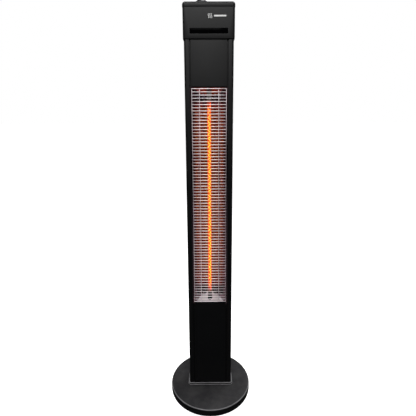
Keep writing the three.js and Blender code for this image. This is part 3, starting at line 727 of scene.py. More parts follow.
def casting(name):
    material, tree, shader = blank(name)
    sand = noise(tree, object_place(tree), 420, 6.0, 0.7)
    shades = (0.03, 0.03, 0.03, 1), (0.075, 0.07, 0.066, 1)
    feed(tree, shader, {
        "Base Color": mix_colour(tree, mapped(tree, sand, 0.35, 0.7), *shades),
        "Roughness": mapped(tree, sand, 0.3, 0.7, 0.6, 0.85),
        "Metallic": 0.3})
    bumped(tree, shader, sand, 0.8, 0.5 * MM)
    return material


def printed_ink(name):
    material, tree, shader = blank(name)
    weave = noise(tree, object_place(tree), 1500)
    shades = (0.80, 0.80, 0.79, 1), (0.62, 0.62, 0.61, 1)
    feed(tree, shader, {
        "Base Color": mix_colour(tree, mapped(tree, weave, 0.4, 0.75), *shades),
        "Roughness": mapped(tree, weave, 0.3, 0.7, 0.45, 0.6)})
    return material


def build_finishes():
    tones, studio = colours(), bpy.context.scene.heater_studio
    FINISHES.update(
        # Column Coat's near-black colour is painted shade; Base Coat is the same powder coat, lighter.
        column=powder_coat("Column Coat", tones.column, 0.44, 0.12, 0.35),
        base=coat_with_painted_edge_light("Base Coat", tones.base),
        head=moulding("Head Moulding", tones.head, 0.5, specular=0.22),
        switch=moulding("Switch Moulding", (0.006, 0.006, 0.0065), 0.42, 2400.0, 0.00003, 0.1, 0.02),
        nylon=moulding("Black Nylon", (0.011, 0.011, 0.012), 0.5, 900.0),
        component=moulding("Component Moulding", (0.02, 0.022, 0.026), 0.4, 1600.0),
        natural=moulding("Natural Nylon", (0.68, 0.66, 0.58), 0.45, 900.0),
        window=smoked_acrylic("Smoked Acrylic"),
        wire=wire_with_painted_glow("Plated Wire", (0.95, 0.88, 0.90), (1.0, 0.36, 0.03)),
        # The mirror sheet's pink colour and tint are a painted reflection of the element's glow on bare
        # aluminium.
        mirror=metal("Mirror Sheet", (0.66, 0.44, 0.49), 0.13, 0.6, tint=(0.42, 0.22, 0.26)),
        plain=metal("Plain Aluminium", (0.58, 0.58, 0.59), 0.4),
        closure=metal("Bright Sheet", (0.66, 0.63, 0.64), 0.42),
        zinc=metal("Zinc Plate", (0.52, 0.54, 0.57), 0.38, 0.5, tint=(0.58, 0.56, 0.50)),
        spring=metal("Spring Wire", (0.42, 0.42, 0.43), 0.3, 0.3),
        holder=metal("Heated Steel", (0.10, 0.095, 0.095), 0.42, 0.8, tint=(0.09, 0.06, 0.075)),
        quartz=quartz("Gold Quartz", tones.glow_skin, studio.glow),
        element=element_glow("Hot Element", tones.glow_core, studio.glow * 1.9),
        ceramic=ceramic("Steatite"),
        rubber=rubber("Foot Rubber"),
        board=circuit_board("Circuit Board"),
        lens=lens("Indicator Lens", (0.55, 0.05, 0.03)),
        iron=casting("Black Casting"),
        ink=printed_ink("Printed Mark"),
    )


# ------------------------------------------------------------------ base


def base_disc():
    low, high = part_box("base_cover")
    edge, wall, radius = sizes().base_edge, 2 * MM, high.x
    foot_edge = 1.0 * MM
    rim = arc(radius - edge, high.z - edge, edge, 90, 0, 8)
    foot = arc(radius - foot_edge, low.z + foot_edge, foot_edge, 0, -90, 3)
    inner = arc(radius - edge, high.z - edge, edge - wall, 0, 90, 5)
    profile = [(0, high.z), (radius * 0.6, high.z), *rim, *foot,
               (radius - wall, low.z), *inner, (0, high.z - wall)]
    piece("base_disc", turned(profile, 160), "base", "base_coat", replaces=("base_cover",))


def collar_ring():
    """Collar in two steps: a foot flange and a slimmer ring, both with rounded upper edges."""
    low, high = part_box("column_collar")
    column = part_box("right_post")[1]
    corner = sizes().post_corner
    step, flange = 1.6 * MM, 2.4 * MM
    clearance, margin = 0.3 * MM, 0.5 * MM
    limit_x, limit_y = column.x + margin, column.y + margin

    def outside(co):
        """True for points out of reach of the column, round its corners too."""
        x, y = abs(co.x) - limit_x, abs(co.y) - limit_y
        past_corner = x > -corner and y > -corner and math.hypot(x + corner, y + corner) > corner
        return x > 0 or y > 0 or past_corner

    def ring(shrink, z0, z1, edge):
        proud = high.x - column.x - clearance - shrink
        width, depth = 2 * (high.x - shrink), 2 * (high.y - shrink)
        bm = round_points(rectangle(width, depth, z0), corner + proud, 10)
        core = list(bm.faces)
        bmesh.ops.inset_region(bm, faces=core, thickness=proud, use_boundary=True, use_even_offset=True)
        bmesh.ops.delete(bm, geom=core, context="FACES")
        raised(bm, z1 - z0)

        def outer_rim(item):
            rim = all(outside(v.co) for v in item.verts) and at_height(z1)(item)
            return rim and item.calc_face_angle(0) > 1

        return soften(bm, edge, 4, outer_rim)

    bm = merged(ring(0, low.z, low.z + flange, 1.2 * MM), ring(step, low.z + flange, high.z, 1.8 * MM))
    piece("collar_ring", bm, "base", "base_coat", replaces=("column_collar",))


def rubber_feet():
    """Turned feet with two grooves under each."""
    for i in range(1, 6):
        node = f"rubber_foot_{i}"
        low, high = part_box(node)
        radius, top = (high.x - low.x) / 2, high.z
        profile = [(0, 0.5 * MM), (radius * 0.45, 0.5 * MM), (radius * 0.5, 0), (radius * 0.62, 0),
                   (radius * 0.66, 0.6 * MM), (radius * 0.74, 0.6 * MM), (radius * 0.78, 0),
                   (radius - 2 * MM, 0), (radius - 1.2 * MM, 0.4 * MM), (radius, top * 0.8),
                   (radius - 0.3 * MM, top), (0, top)]
        centre = middle(node)
        bm = moved(turned(profile, 48), centre.x, centre.y)
        piece(f"foot_{i}", bm, "rubber", "rubber", replaces=(node,))


def underside_plate():
    """Plate with a pressed ring bead and holes for the plunger and the column bolts."""
    low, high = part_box("base_bottom_plate")
    radius, thickness = high.x, high.z - low.z
    bead, drop, edge = radius * 0.62, 0.8 * MM, 0.5 * MM
    profile = [(0, low.z), (bead - 4 * MM, low.z), (bead - 2 * MM, low.z - drop),
               (bead + 2 * MM, low.z - drop), (bead + 4 * MM, low.z), (radius - edge, low.z),
               (radius, low.z + edge), (radius, high.z), (0, high.z)]
    plate = mesh_object("underside_plate", turned(profile, 128))
    holes = [("tip_plunger", 3.5 * MM, 32)] + [(f"column_bolt_{i}", 3.4 * MM, 24) for i in range(1, 5)]
    for node, hole, sides in holes:
        centre = middle(node)
        cut(plate, moved(bar(hole, 10 * MM, sides), centre.x, centre.y, low.z - 2 * thickness))
    finished(plate, "zinc", "zinc_steel", replaces=("base_bottom_plate",))


def column_bolts():
    """Hexagon bolts with a washer, up through the base."""
    head, washer = 2.4 * MM, 0.6 * MM
    for i in range(1, 5):
        node = f"column_bolt_{i}"
        low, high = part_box(node)
        centre = middle(node)
        seat = head + washer
        bm = merged(
            bar(5.4 * MM, head, 6, 0.35 * MM),
            moved(bar(6.2 * MM, washer, 32, 0.15 * MM), z=head),
            moved(bar(3.0 * MM, high.z - low.z - seat, 24), z=seat))
        piece(f"bolt_{i}", moved(bm, centre.x, centre.y, low.z), "zinc", "zinc_steel", replaces=(node,))


def plunger_pin():
    """Round-nosed pin with a flange for its spring."""
    low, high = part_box("tip_plunger")
    centre = middle("tip_plunger")
    pin, flange = 3 * MM, 5 * MM
    seat, rest = low.z + 9.6 * MM, low.z + 11.6 * MM
    nose = arc(0, low.z + pin, pin, -90, 0, 8)
    profile = [*nose, (pin, seat), (flange - 0.2 * MM, seat), (flange, seat + 0.2 * MM),
               (flange, rest), (1.5 * MM, rest), (1.4 * MM, high.z), (0, high.z)]
    bm = moved(turned(profile, 40), centre.x, centre.y)
    piece("plunger_pin", bm, "natural", "terminal_plastic", body=PLUNGER, replaces=("tip_plunger",))


# ------------------------------------------------------------------ column


def post_section():
    """The folded section of the right-hand post."""
    low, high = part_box("right_post")
    wall, corner, lip = sizes().post_wall, sizes().post_corner, 6.2 * MM
    xi, xo, y = low.x, high.x, high.y
    half = [(xi, -y), (xo, -y)]
    inner = [(xo - wall, -y + wall), (xi + wall, -y + wall), (xi + wall, -y + lip), (xi, -y + lip)]
    points = [*half, *[(x, -v) for x, v in reversed(half)], *[(x, -v) for x, v in reversed(inner)], *inner]
    bm = outline(points, low.z)
    round_points(bm, corner, 10, lambda co: co.x > xo - NEAR)
    round_points(
        bm, corner - wall, 8, lambda co: abs(co.x - xo + wall) < NEAR and abs(co.y) > y - wall - NEAR)
    round_points(bm, 0.7 * MM, 3, lambda co: abs(co.x - xi) < NEAR and abs(abs(co.y) - y) < NEAR)
    return raised(bm, high.z - low.z)


def posts():
    piece("post_right", post_section(), "column", "column_coat", replaces=("right_post",))
    left = turned_over(post_section(), 180, "Z")
    piece("post_left", left, "column", "column_coat", replaces=("left_post",))


def folded_sheet(node, side):
    """A panel folded to the CAD panel's section. Side -1 is the front, +1 the back."""
    low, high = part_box(node)
    sheet = sizes().sheet
    outer = max(abs(low.y), abs(high.y))
    inner = min(abs(low.y), abs(high.y))
    flange = inner + sheet
    face = high.x - 7.5 * MM
    right = [(face, outer), (face, flange), (high.x, flange), (high.x, inner),
             (face - sheet, inner), (face - sheet, outer - sheet)]
    points = [*right, *[(-x, y) for x, y in reversed(right)]]
    bm = outline([(x, side * y) for x, y in points], low.z)
    round_points(bm, 1.1 * MM, 4, lambda co: abs(abs(co.x) - face) < NEAR and abs(co.y) > outer - NEAR)
    round_points(bm, 0.5 * MM, 3, lambda co: abs(abs(co.x) - face + sheet) < NEAR)
    return raised(bm, high.z - low.z)


def front_panels():
    for level in ("lower", "upper"):
        node = f"{level}_front_panel"
        piece(f"{level}_panel", folded_sheet(node, -1), "column", "column_coat", replaces=(node,))


def slot_tool(width, height, z, y):
    """A long slot with round ends, as a cutting tool along y."""
    depth = 12 * MM
    bm = round_points(rectangle(width, height), height * 0.49, 6)
    raised(bm, depth)
    turned_over(bm, 90, "X")
    return moved(bm, 0, y + depth / 2, z)


def back_panel():
    """Back sheet with eight vents below the reflector, eight above it, and the gland's hole."""
    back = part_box("rear_panel")[1].y
    panel = mesh_object("back_panel", folded_sheet("rear_panel", 1))
    opening_low, opening_high = (corner.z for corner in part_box("reflector"))
    width, height, pitch = 84 * MM, 4 * MM, 9 * MM
    tools = []
    for bottom in (opening_low - 112.3 * MM, opening_high + 40.3 * MM):
        for i in range(8):
            tools.append(slot_tool(width, height, bottom + i * pitch + height / 2, back))
    gland = middle("cable_gland")
    tools.append(moved(turned_over(bar(8.3 * MM, 20 * MM, 40), -90, "X"), gland.x, back - 15 * MM, gland.z))
    cut(panel, *tools)
    finished(panel, "column", "column_coat", replaces=("rear_panel",))


def rear_screws():
    """Dome-headed screws with a cross recess."""
    for i in range(1, 5):
        node = f"rear_screw_{i}"
        low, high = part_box(node)
        centre = middle(node)
        head, shank, length = 1.6 * MM, 1.8 * MM, high.y - low.y
        dome = arc(0, -3.4 * MM, 5.0 * MM, 90, 50, 8)
        lift = head - dome[0][1]
        profile = [(0, head), *[(r, z + lift) for r, z in dome[1:]], (3.75 * MM, 0.2 * MM),
                   (3.6 * MM, 0), (shank, 0), (shank, 2 * MM - length), (0, head - length)]
        screw = mesh_object(f"panel_screw_{i}", turned(profile, 40))
        a, b = 2.3 * MM, 0.4 * MM
        cross = [(-a, -b), (-b, -b), (-b, -a), (b, -a), (b, -b), (a, -b),
                 (a, b), (b, b), (b, a), (-b, a), (-b, b), (-a, b)]
        cut(screw, raised(outline(cross, 0.7 * MM), 3 * MM))
        place = Matrix.Translation((centre.x, high.y - head, centre.z))
        screw.data.transform(place @ Matrix.Rotation(-math.pi / 2, 4, "X"))
        finished(screw, "zinc", "zinc_steel", replaces=(node,))


def gland():
    """Hexagon gland body on the back panel, with its thread reaching inside."""
    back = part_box("cable_gland")[1].y
    centre = middle("cable_gland")
    panel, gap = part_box("rear_panel")[1].y, 0.3 * MM
    flange = turned_over(bar(10.9 * MM, back - panel - gap, 6, 0.3 * MM), -90, "X")
    moved(flange, 0, panel + gap)
    root, crest, length, pitch = 7.4 * MM, 8.0 * MM, 11 * MM, 1.5 * MM
    thread = [(0, 0)]
    for i in range(int(length / pitch)):
        thread += [(root, i * pitch), (crest, (i + 0.5) * pitch)]
    thread += [(root, length), (0, length)]
    stem = moved(turned_over(turned(thread, 32), -90, "X"), 0, panel - length)
    bm = moved(merged(flange, stem), centre.x, 0, centre.z)
    piece("gland_body", bm, "nylon", "black_plastic", replaces=("cable_gland",))


# ------------------------------------------------------------------ heater


def parabola(half, count):
    """(x, y) bends of the reflector, from +x to -x, read off the CAD trough's depth."""
    low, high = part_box("reflector")
    vertex = high.y - 1.5 * MM
    focal = half * half / (4 * (vertex - low.y))
    xs = [half * (1 - 2 * i / count) for i in range(count + 1)]
    return [(x, vertex - x * x / (4 * focal)) for x in xs]


def mirror_trough():
    low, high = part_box("reflector")
    half, sheet = TROUGH_HALF, 0.9 * MM
    inner = parabola(half, sizes().reflector_facets)
    outer = [(x, y + 1.5 * sheet) for x, y in inner[1:-1]][::-1]
    flange, foot = low.y + sheet, half + 0.7 * MM
    points = [(high.x, low.y), *inner, (-high.x, low.y), (-high.x, flange), (-foot, flange),
              *outer, (foot, flange), (high.x, flange)]
    bm = outline(points, low.z)
    round_points(bm, 1.5 * MM, 3, lambda co: NEAR < abs(co.x) < half - NEAR)
    raised(bm, high.z - low.z)
    piece("mirror_trough", bm, "mirror", "mirror_aluminium", replaces=("reflector",))


def end_closure(node, rising):
    """Sloped end of the trough, with the lamp's hole."""
    low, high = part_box(node)
    inset, sheet = 0.5 * MM, 1.0 * MM
    bends = parabola(TROUGH_HALF, sizes().reflector_facets)
    bm = outline([(x - math.copysign(inset, x), y - inset) for x, y in bends])
    bmesh.ops.bisect_plane(
        bm, geom=list(bm.verts) + list(bm.edges) + list(bm.faces), plane_co=(0, low.y, 0),
        plane_no=(0, -1, 0), clear_outer=True)
    bmesh.ops.holes_fill(bm, edges=bm.edges)
    raised(bm, sheet)
    slope = (high.z - low.z - sheet) / (high.y - low.y)
    for vert in bm.verts:
        rise = slope * (vert.co.y - low.y)
        vert.co.z += low.z + rise if rising else high.z - sheet - rise
    plate = mesh_object(f"{node}_sheet", bm)
    cut(plate, lamp_tool(8.5 * MM, 40, low.z))
    finished(plate, "closure" if rising else "mirror", "mirror_aluminium", replaces=(node,))


def lamp_tool(radius, sides, z):
    """A round cutting tool on the lamp's axis, through anything that starts at a height."""
    lamp = middle("quartz_tube")
    return moved(bar(radius, 60 * MM, sides), lamp.x, lamp.y, z - 15 * MM)


def lamp_bracket(node, upper):
    """Holder that clips round a lamp end: body, jaws, legs and two screws."""
    low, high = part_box(node)
    tall, jaw, leg = 12 * MM, 1.2 * MM, 2.5 * MM
    body_low = low.z if upper else high.z - tall
    body_high = low.z + tall if upper else high.z
    clip = block((low.x, low.y, body_low), (high.x, high.y, body_high), 1.2 * MM, 3)
    body = mesh_object(f"{node}_clip", clip)
    slit = block((-jaw, low.y - 1 * MM, body_low - 1 * MM),
                 (jaw, middle("quartz_tube").y, body_high + 1 * MM))
    cut(body, lamp_tool(8.4 * MM, 48, low.z), slit)
    legs = []
    for side in (-1, 1):
        x = side * 19 * MM
        legs.append(block((x - leg, high.y - 3 * MM, low.z), (x + leg, high.y, high.z), 0.5 * MM))
        screw = turned_over(bar(3 * MM, 1.4 * MM, 24, 0.4 * MM), 90, "X")
        legs.append(moved(screw, side * 15 * MM, low.y + 0.2 * MM, (body_low + body_high) / 2))
    piece(f"{node}_clip", merged(taken(body), *legs), "holder", "holder_steel", replaces=(node,))


def lamp_end(node, upper):
    """Ceramic lamp end: ribbed body with two flats and the lead's pin."""
    low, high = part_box(node)
    centre = middle(node)
    length, radius, half = high.z - low.z, (high.x - low.x) / 2, (high.y - low.y) / 2
    pin, groove, edge = radius * 0.35, radius * 0.88, radius * 0.9
    profile = [(0, 0), (pin, 0), (pin, 2 * MM), (edge, 2 * MM), (radius, 3 * MM)]
    for i in range(3):
        z = 9 * MM + i * 4 * MM
        profile += [(radius, z), (groove, z + 0.6 * MM), (groove, z + 1.8 * MM), (radius, z + 2.4 * MM)]
    profile += [(radius, length - 1 * MM), (edge, length), (0, length)]
    made = mesh_object(f"{node}_ceramic", turned(profile, 48))
    reach, spare = 2 * radius, 1 * MM
    cut(made, block((-reach, half, -spare), (reach, reach, length + spare)),
        block((-reach, -reach, -spare), (reach, -half, length + spare)))
    place = Matrix.Translation((centre.x, centre.y, low.z))
    if upper:
        place = Matrix.Translation((centre.x, centre.y, high.z)) @ Matrix.Rotation(math.pi, 4, "X")
    made.data.transform(place)
    finished(made, "ceramic", "ceramic", replaces=(node,))


def quartz_glass():
    low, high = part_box("quartz_tube")
    centre = middle("quartz_tube")
    radius = (high.x - low.x) / 2
    bore = radius - 1.2 * MM
    profile = [(bore, low.z), (radius, low.z), (radius, high.z), (bore, high.z)]
    bm = moved(turned(profile, 48, closed=True), centre.x, centre.y)
    piece("quartz_glass", bm, "quartz", "quartz", replaces=("quartz_tube",))


def heating_coil():
    """Open coil of hot wire on the tube's axis, with straight tails into the lamp's ends."""
    low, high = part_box("filament")
    centre = middle("filament")
    wire, radius, steps_a_turn, tail = 1.25 * MM, 3.4 * MM, 16, 12 * MM
    bottom, top = low.z + tail, high.z - tail
    turns = round((top - bottom) / sizes().coil_pitch)
    bm = bmesh.new()
    ring = bmesh.ops.create_circle(bm, cap_ends=False, segments=7, radius=wire)["verts"]
    bmesh.ops.rotate(bm, verts=ring, matrix=Matrix.Rotation(math.pi / 2, 3, "X"))
    bmesh.ops.translate(bm, verts=ring, vec=(radius, 0, bottom))
    bmesh.ops.spin(
        bm, geom=list(bm.verts) + list(bm.edges), cent=(0, 0, 0), axis=(0, 0, 1), angle=turns * TURN,
        dvec=(0, 0, (top - bottom) / (turns * steps_a_turn)), steps=turns * steps_a_turn, use_merge=False)
    bmesh.ops.holes_fill(bm, edges=[edge for edge in bm.edges if edge.is_boundary])
    overlap = 2 * MM
    tails = [moved(bar(wire, tail + overlap, 8), radius, 0, z) for z in (low.z, top - overlap)]
    bm = moved(merged(bm, *tails), centre.x, centre.y)
    piece("heating_coil", bm, "element", "glowing_filament", replaces=("filament",))


def wire_bar(radius, length, sides):
    return bar(radius, length, sides, radius * 0.35)


def guard_wires():
    """Cross wires between two edge wires, and the stays behind them."""
    low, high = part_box("wire_guard")
    wire, pitch, height = sizes().wire, sizes().wire_pitch, high.z - low.z
    radius, y = wire / 2, (low.y + high.y) / 2
    parts = []
    for i in range(round((height - wire) / pitch) + 1):
        cross = turned_over(wire_bar(radius, high.x - low.x, 10), 90, "Y")
        parts.append(moved(cross, low.x, y, low.z + radius + i * pitch))
    for x in (low.x + radius, high.x - radius):
        parts.append(moved(wire_bar(radius * 0.7, height, 14), x, y + radius * 0.5, low.z))
    piece("guard_wires", merged(*parts), "wire", "guard_steel", replaces=("wire_guard",))
    for side in ("left", "right"):
        node = f"guard_stay_{side}"
        stay = moved(wire_bar(radius * 0.6, height, 14), middle(node).x, y + radius * 1.5, low.z)
        piece(f"stay_{side}", stay, "wire", "guard_steel", replaces=(node,))


# ------------------------------------------------------------------ head


def head_box():
    """Hollow head with the window's opening."""
    low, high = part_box("head_shell")
    width, depth, corner, wall = high.x - low.x, high.y - low.y, sizes().head_corner, sizes().head_wall
    spare = 5 * MM
    shell = mesh_object("head_box", slab(width, depth, low.z, high.z, corner, 1.2 * MM, 0.9 * MM))
    cut(shell, slab(width - 2 * wall, depth - 2 * wall, low.z - spare, high.z + spare, corner - wall))
    face_low, face_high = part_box("display_window")
    gap, lip = 0.3 * MM, 1.6 * MM
    side, level = WINDOW_FLANGE[0] - gap, WINDOW_FLANGE[1] - gap
    window = block((face_low.x + side, low.y - spare, face_low.z + level),
                   (face_high.x - side, low.y + spare, face_high.z - level))
    soften(window, lip, 3, lambda edge: abs(edge.verts[0].co.y - edge.verts[1].co.y) > spare)
    cut(shell, window)
    finished(shell, "head", "head_plastic", replaces=("head_shell",))


def head_lid():
    """Hollow cap with a rounded top edge and the switch's opening."""
    low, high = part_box("head_cap")
    width, depth, wall = high.x - low.x, high.y - low.y, sizes().head_wall
    corner, edge = sizes().head_corner + 0.8 * MM, sizes().cap_edge
    bm = round_points(rectangle(width, depth, low.z), corner, 10)
    raised(bm, high.z - low.z)
    soften(bm, 0.9 * MM, 3, at_height(low.z))
    lid = mesh_object("head_lid", bm)
    round_over(lid, edge, high.z)
    hollow = slab(width - 2 * wall, depth - 2 * wall, low.z - 5 * MM, high.z - wall, corner - wall)
    inside = mesh_object("inside", hollow)
    round_over(inside, edge - wall, high.z - wall)
    cut(lid, taken(inside))
    switch_low, switch_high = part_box("switch_housing")
    inset = 1.4 * MM
    cut(lid, block((switch_low.x + inset, switch_low.y + inset, switch_low.z),
                   (switch_high.x - inset, switch_high.y - inset, switch_high.z)))
    finished(lid, "head", "head_plastic", replaces=("head_cap",))


def round_over(made, radius, z):
    """Rounds over the rim of a solid at one height."""
    bm = bmesh.new()
    bm.from_mesh(made.data)
    soften(bm, radius, 10, at_height(z))
    bmesh.ops.dissolve_degenerate(bm, dist=NEAR, edges=bm.edges)
    close_up(bm)
    bm.to_mesh(made.data)
    bm.free()


def window_pane():
    """Pane with a thin flange behind it."""
    low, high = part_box("display_window")
    side, level = WINDOW_FLANGE
    face = block((low.x + side, low.y, low.z + level), (high.x - side, high.y, high.z - level), 0.25 * MM)
    flange = block((low.x, high.y - 1.5 * MM, low.z), (high.x, high.y, high.z), 0.3 * MM)
    piece("window_pane", merged(face, flange), "window", "smoked_window", replaces=("display_window",))


def heat_symbol():
    """Plain printed mark: three rising waves beside a blank strip."""
    head_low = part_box("head_shell")[0]
    centre_x, centre_z = 4 * MM, head_low.z + 66 * MM
    stroke, spacing, height, swing, count = 0.95 * MM, 4.6 * MM, 13 * MM, 1.1 * MM, 16
    parts = []
    for x in (-spacing, 0, spacing):
        bm = bmesh.new()
        ring = bmesh.ops.create_circle(bm, cap_ends=True, segments=10, radius=stroke)["verts"]
        bmesh.ops.translate(bm, verts=ring, vec=(x, 0, -height / 2))
        bm.faces.ensure_lookup_table()
        face = bm.faces[0]
        for i in range(count):
            face = bmesh.ops.extrude_discrete_faces(bm, faces=[face])["faces"][0]
            sway = swing * (math.sin(TURN * (i + 1) / count) - math.sin(TURN * i / count))
            bmesh.ops.translate(bm, verts=face.verts, vec=(sway, 0, height / count))
        bmesh.ops.holes_fill(bm, edges=[edge for edge in bm.edges if edge.is_boundary])
        bmesh.ops.scale(bm, verts=bm.verts, vec=(1, 0.25, 1))
        parts.append(bm)
    strip = slab(38 * MM, 4.6 * MM, -0.15 * MM, 0.2 * MM, 1.4 * MM)
    parts.append(moved(turned_over(strip, 90, "X"), 31 * MM))
    piece("heat_symbol", moved(merged(*parts), centre_x, head_low.y, centre_z), "ink", "terminal_plastic")


def switch_frame():
    """Switch body under a rounded bezel, with a well for the rocker."""
    low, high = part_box("switch_housing")
    rocker_low, rocker_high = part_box("switch_rocker")
    seat, shrink = high.z - 3 * MM, 1.8 * MM
    width, depth = high.x - low.x, high.y - low.y
    x, y = width / 2 - shrink, depth / 2 - shrink
    well_x, well_y = 13.8 * MM, (rocker_high.y - rocker_low.y) / 2 + 0.3 * MM
    rim = mesh_object("switch_rim", slab(width, depth, seat, high.z, 3 * MM, 1.2 * MM, 0, 6))
    body = mesh_object("switch_body", block((-x, -y, low.z), (x, y, seat + 1 * MM)))
    for made in (rim, body):
        cut(made, block((-well_x, -well_y, high.z - 12 * MM), (well_x, well_y, high.z + 5 * MM)))
    centre = middle("switch_housing")
    bm = moved(merged(taken(rim), taken(body)), centre.x, centre.y)
    piece("switch_frame", bm, "switch", "switch_plastic", replaces=("switch_housing",))


def rocker_lever():
    """Rocker at its rest tilt: two finger faces in a shallow valley, with softened edges and marks."""
    joint = next(j for j in frame["joints"] if j["name"] == "rocker_tilt")
    low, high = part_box("switch_rocker")
    width, radius, end = high.y - low.y, 13.5 * MM, 30
    valley, brow = 4 * MM, (5 * MM, 4.6 * MM)
    right = arc(0, 0, radius, -20, end, 8)
    left = [(-x, z) for x, z in reversed(right)]
    bm = outline([(0, -6.5 * MM), *right, brow, (0, valley), (-brow[0], brow[1]), *left], -width / 2)
    raised(bm, width)
    turned_over(bm, 90, "X")
    soften(
        bm, 0.7 * MM, 3,
        lambda edge: edge.calc_face_angle(0) > math.radians(50) and edge.verts[0].co.z > 0)
    place = Matrix.Translation(Vector(joint["pos_m"])) @ Matrix.Rotation(math.radians(10), 4, "Y")
    bmesh.ops.transform(bm, matrix=place, verts=bm.verts)
    piece("rocker_lever", bm, "switch", "switch_plastic", body=ROCKER, replaces=("switch_rocker",))
    size, line, thick, sunk = 2.4 * MM, 0.7 * MM, 0.3 * MM, 0.12 * MM
    off = mesh_object("off_mark", bar(size, thick, 32))
    cut(off, moved(bar(size - line, 2 * MM, 32), z=-1 * MM))
    on = mesh_object("on_mark", block((-line / 2, -size, 0), (line / 2, size, thick)))
    tip_x, tip_z = right[-1]
    slope = math.atan2(tip_z - valley, tip_x)
    for mark, side in ((off, 1), (on, -1)):
        x = side * 7.2 * MM
        z = valley + abs(x) * math.tan(slope) - sunk
        local = Matrix.Translation((x, 0, z)) @ Matrix.Rotation(-side * slope, 4, "Y")
        mark.data.transform(place @ local)
        finished(mark, "ink", "terminal_plastic", body=ROCKER)


CAD_FINISHES = {
    "base_weight": "iron", "tip_switch_housing": "component", "tip_spring": "spring",
    "bottom_bracket": "zinc", "top_bracket": "zinc", "terminal_block": "natural", "gland_nut": "nylon",
    "heat_shield": "holder", "supply_harness": "nylon", "head_baffle": "holder", "control_board": "board",
    "relay": "component", "heat_sink": "plain", "infrared_receiver": "component",
    "indicator_led_1": "lens", "indicator_led_2": "lens",
}


def dress_inner_parts():
    """Gives the CAD parts that stay their finishes."""
    for node, finish in CAD_FINISHES.items():
        mesh = frame["nodes"][node].data
        mesh.materials.clear()
        mesh.materials.append(FINISHES[finish])


# ------------------------------------------------------------------ stage


def plain_floor():
    """Pale floor. Reflections and bounced light see it darker, as if a black card lay under the lens."""
    bm = bmesh.new()
    bmesh.ops.create_grid(bm, x_segments=1, y_segments=1, size=40)
    floor = mesh_object("floor", bm)
    material, tree, shader = blank("Pale Floor")
    seen = add(tree, "ShaderNodeLightPath").outputs["Is Camera Ray"]
    feed(tree, shader, {
        "Base Color": mix_colour(tree, seen, (0.05, 0.05, 0.055, 1), (0.86, 0.86, 0.86, 1)),
        "Roughness": 0.9,
        "Specular IOR Level": 0.0,
        "Emission Color": (1, 1, 1, 1),
        "Emission Strength": times(tree, seen, 0.97)})
    floor.data.materials.append(material)


def room():
    """Background: white to the camera, brighter above than below to everything else."""
    world = bpy.data.worlds.new("Room")
    bpy.context.scene.world = world
    world.use_nodes = True
    tree = world.node_tree
    up = axes(tree, add(tree, "ShaderNodeTexCoord").outputs["Generated"])[2]
    sky = mapped(tree, up, -0.1, 0.9, 0.02, bpy.context.scene.heater_studio.sky)
    seen = add(tree, "ShaderNodeLightPath").outputs["Is Camera Ray"]
    strength = add(tree, "ShaderNodeMix", {0: seen, 2: sky, 3: 1.0}, data_type="FLOAT").outputs[0]
    feed(tree, tree.nodes["Background"].inputs, {"Strength": strength, "Color": (1, 1, 1, 1)})


def soft_light(name, place, target, width, height, power):
    lamp = bpy.data.lights.new(name, "AREA")
    lamp.shape = "RECTANGLE"
    lamp.size, lamp.size_y = width, height
    lamp.energy = power
    made = bpy.data.objects.new(name, lamp)
    bpy.context.scene.collection.objects.link(made)
    made.location = place
    made.rotation_mode = "QUATERNION"
    made.rotation_quaternion = (Vector(target) - Vector(place)).to_track_quat("-Z", "Y")


def studio_camera():
    """Hand-held view from the front, a little above the middle of the heater."""
    pitch, yaw, roll = math.radians(-11.637), math.radians(0.172), math.radians(-0.238)
    ahead = Vector((math.sin(yaw) * math.cos(pitch), math.cos(yaw) * math.cos(pitch), math.sin(pitch)))
    right = Vector((math.cos(yaw), -math.sin(yaw), 0))
    up = right.cross(ahead)
    right, up = right * math.cos(roll) + up * math.sin(roll), up * math.cos(roll) - right * math.sin(roll)
    lens = bpy.data.cameras.new("camera")
    lens.lens, lens.sensor_width = 29.90, 36.0
    lens.shift_x, lens.shift_y = -0.0055, -0.0537
    camera = bpy.data.objects.new("camera", lens)
    bpy.context.scene.collection.objects.link(camera)
    basis = Matrix((right, up, -ahead)).transposed().to_4x4()
    camera.matrix_world = Matrix.Translation((-0.0008, -1.1748, 1.0429)) @ basis
    bpy.context.scene.camera = camera


# ------------------------------------------------------------------ operators


class HeaterOperator:
    """Shared by the operators: runs the builders and reports done"""

    bl_options = {"REGISTER", "UNDO"}
    builders = ()

    def execute(self, context):
        for build in self.builders:
            build()
        return {"FINISHED"}


class HEATER_OT_finishes(HeaterOperator, bpy.types.Operator):
    """Build the shader groups and the materials"""

    bl_idname = "heater.finishes"
    bl_label = "Finishes"
    builders = (build_groups, build_finishes)


class HEATER_OT_base(HeaterOperator, bpy.types.Operator):
    """Build the base disc, its collar and the underside"""

    bl_idname = "heater.base"
    bl_label = "Base"
    builders = (base_disc, collar_ring, underside_plate)


class HEATER_OT_feet(HeaterOperator, bpy.types.Operator):
    """Build the rubber feet, the column bolts and the tip-over plunger"""

    bl_idname = "heater.feet"
    bl_label = "Feet and Bolts"
    builders = (rubber_feet, column_bolts, plunger_pin)


class HEATER_OT_column(HeaterOperator, bpy.types.Operator):
    """Build the posts and the front panels"""

    bl_idname = "heater.column"
    bl_label = "Column"
    builders = (posts, front_panels)


class HEATER_OT_back(HeaterOperator, bpy.types.Operator):
    """Build the vented back panel, its screws and the cable gland"""

    bl_idname = "heater.back"
    bl_label = "Back"
    builders = (back_panel, rear_screws, gland)


class HEATER_OT_reflector(HeaterOperator, bpy.types.Operator):
    """Build the mirror trough and its sloped ends"""

    bl_idname = "heater.reflector"
    bl_label = "Reflector"

    def execute(self, context):
        mirror_trough()
        end_closure("reflector_end_bottom", True)
        end_closure("reflector_end_top", False)
        return {"FINISHED"}


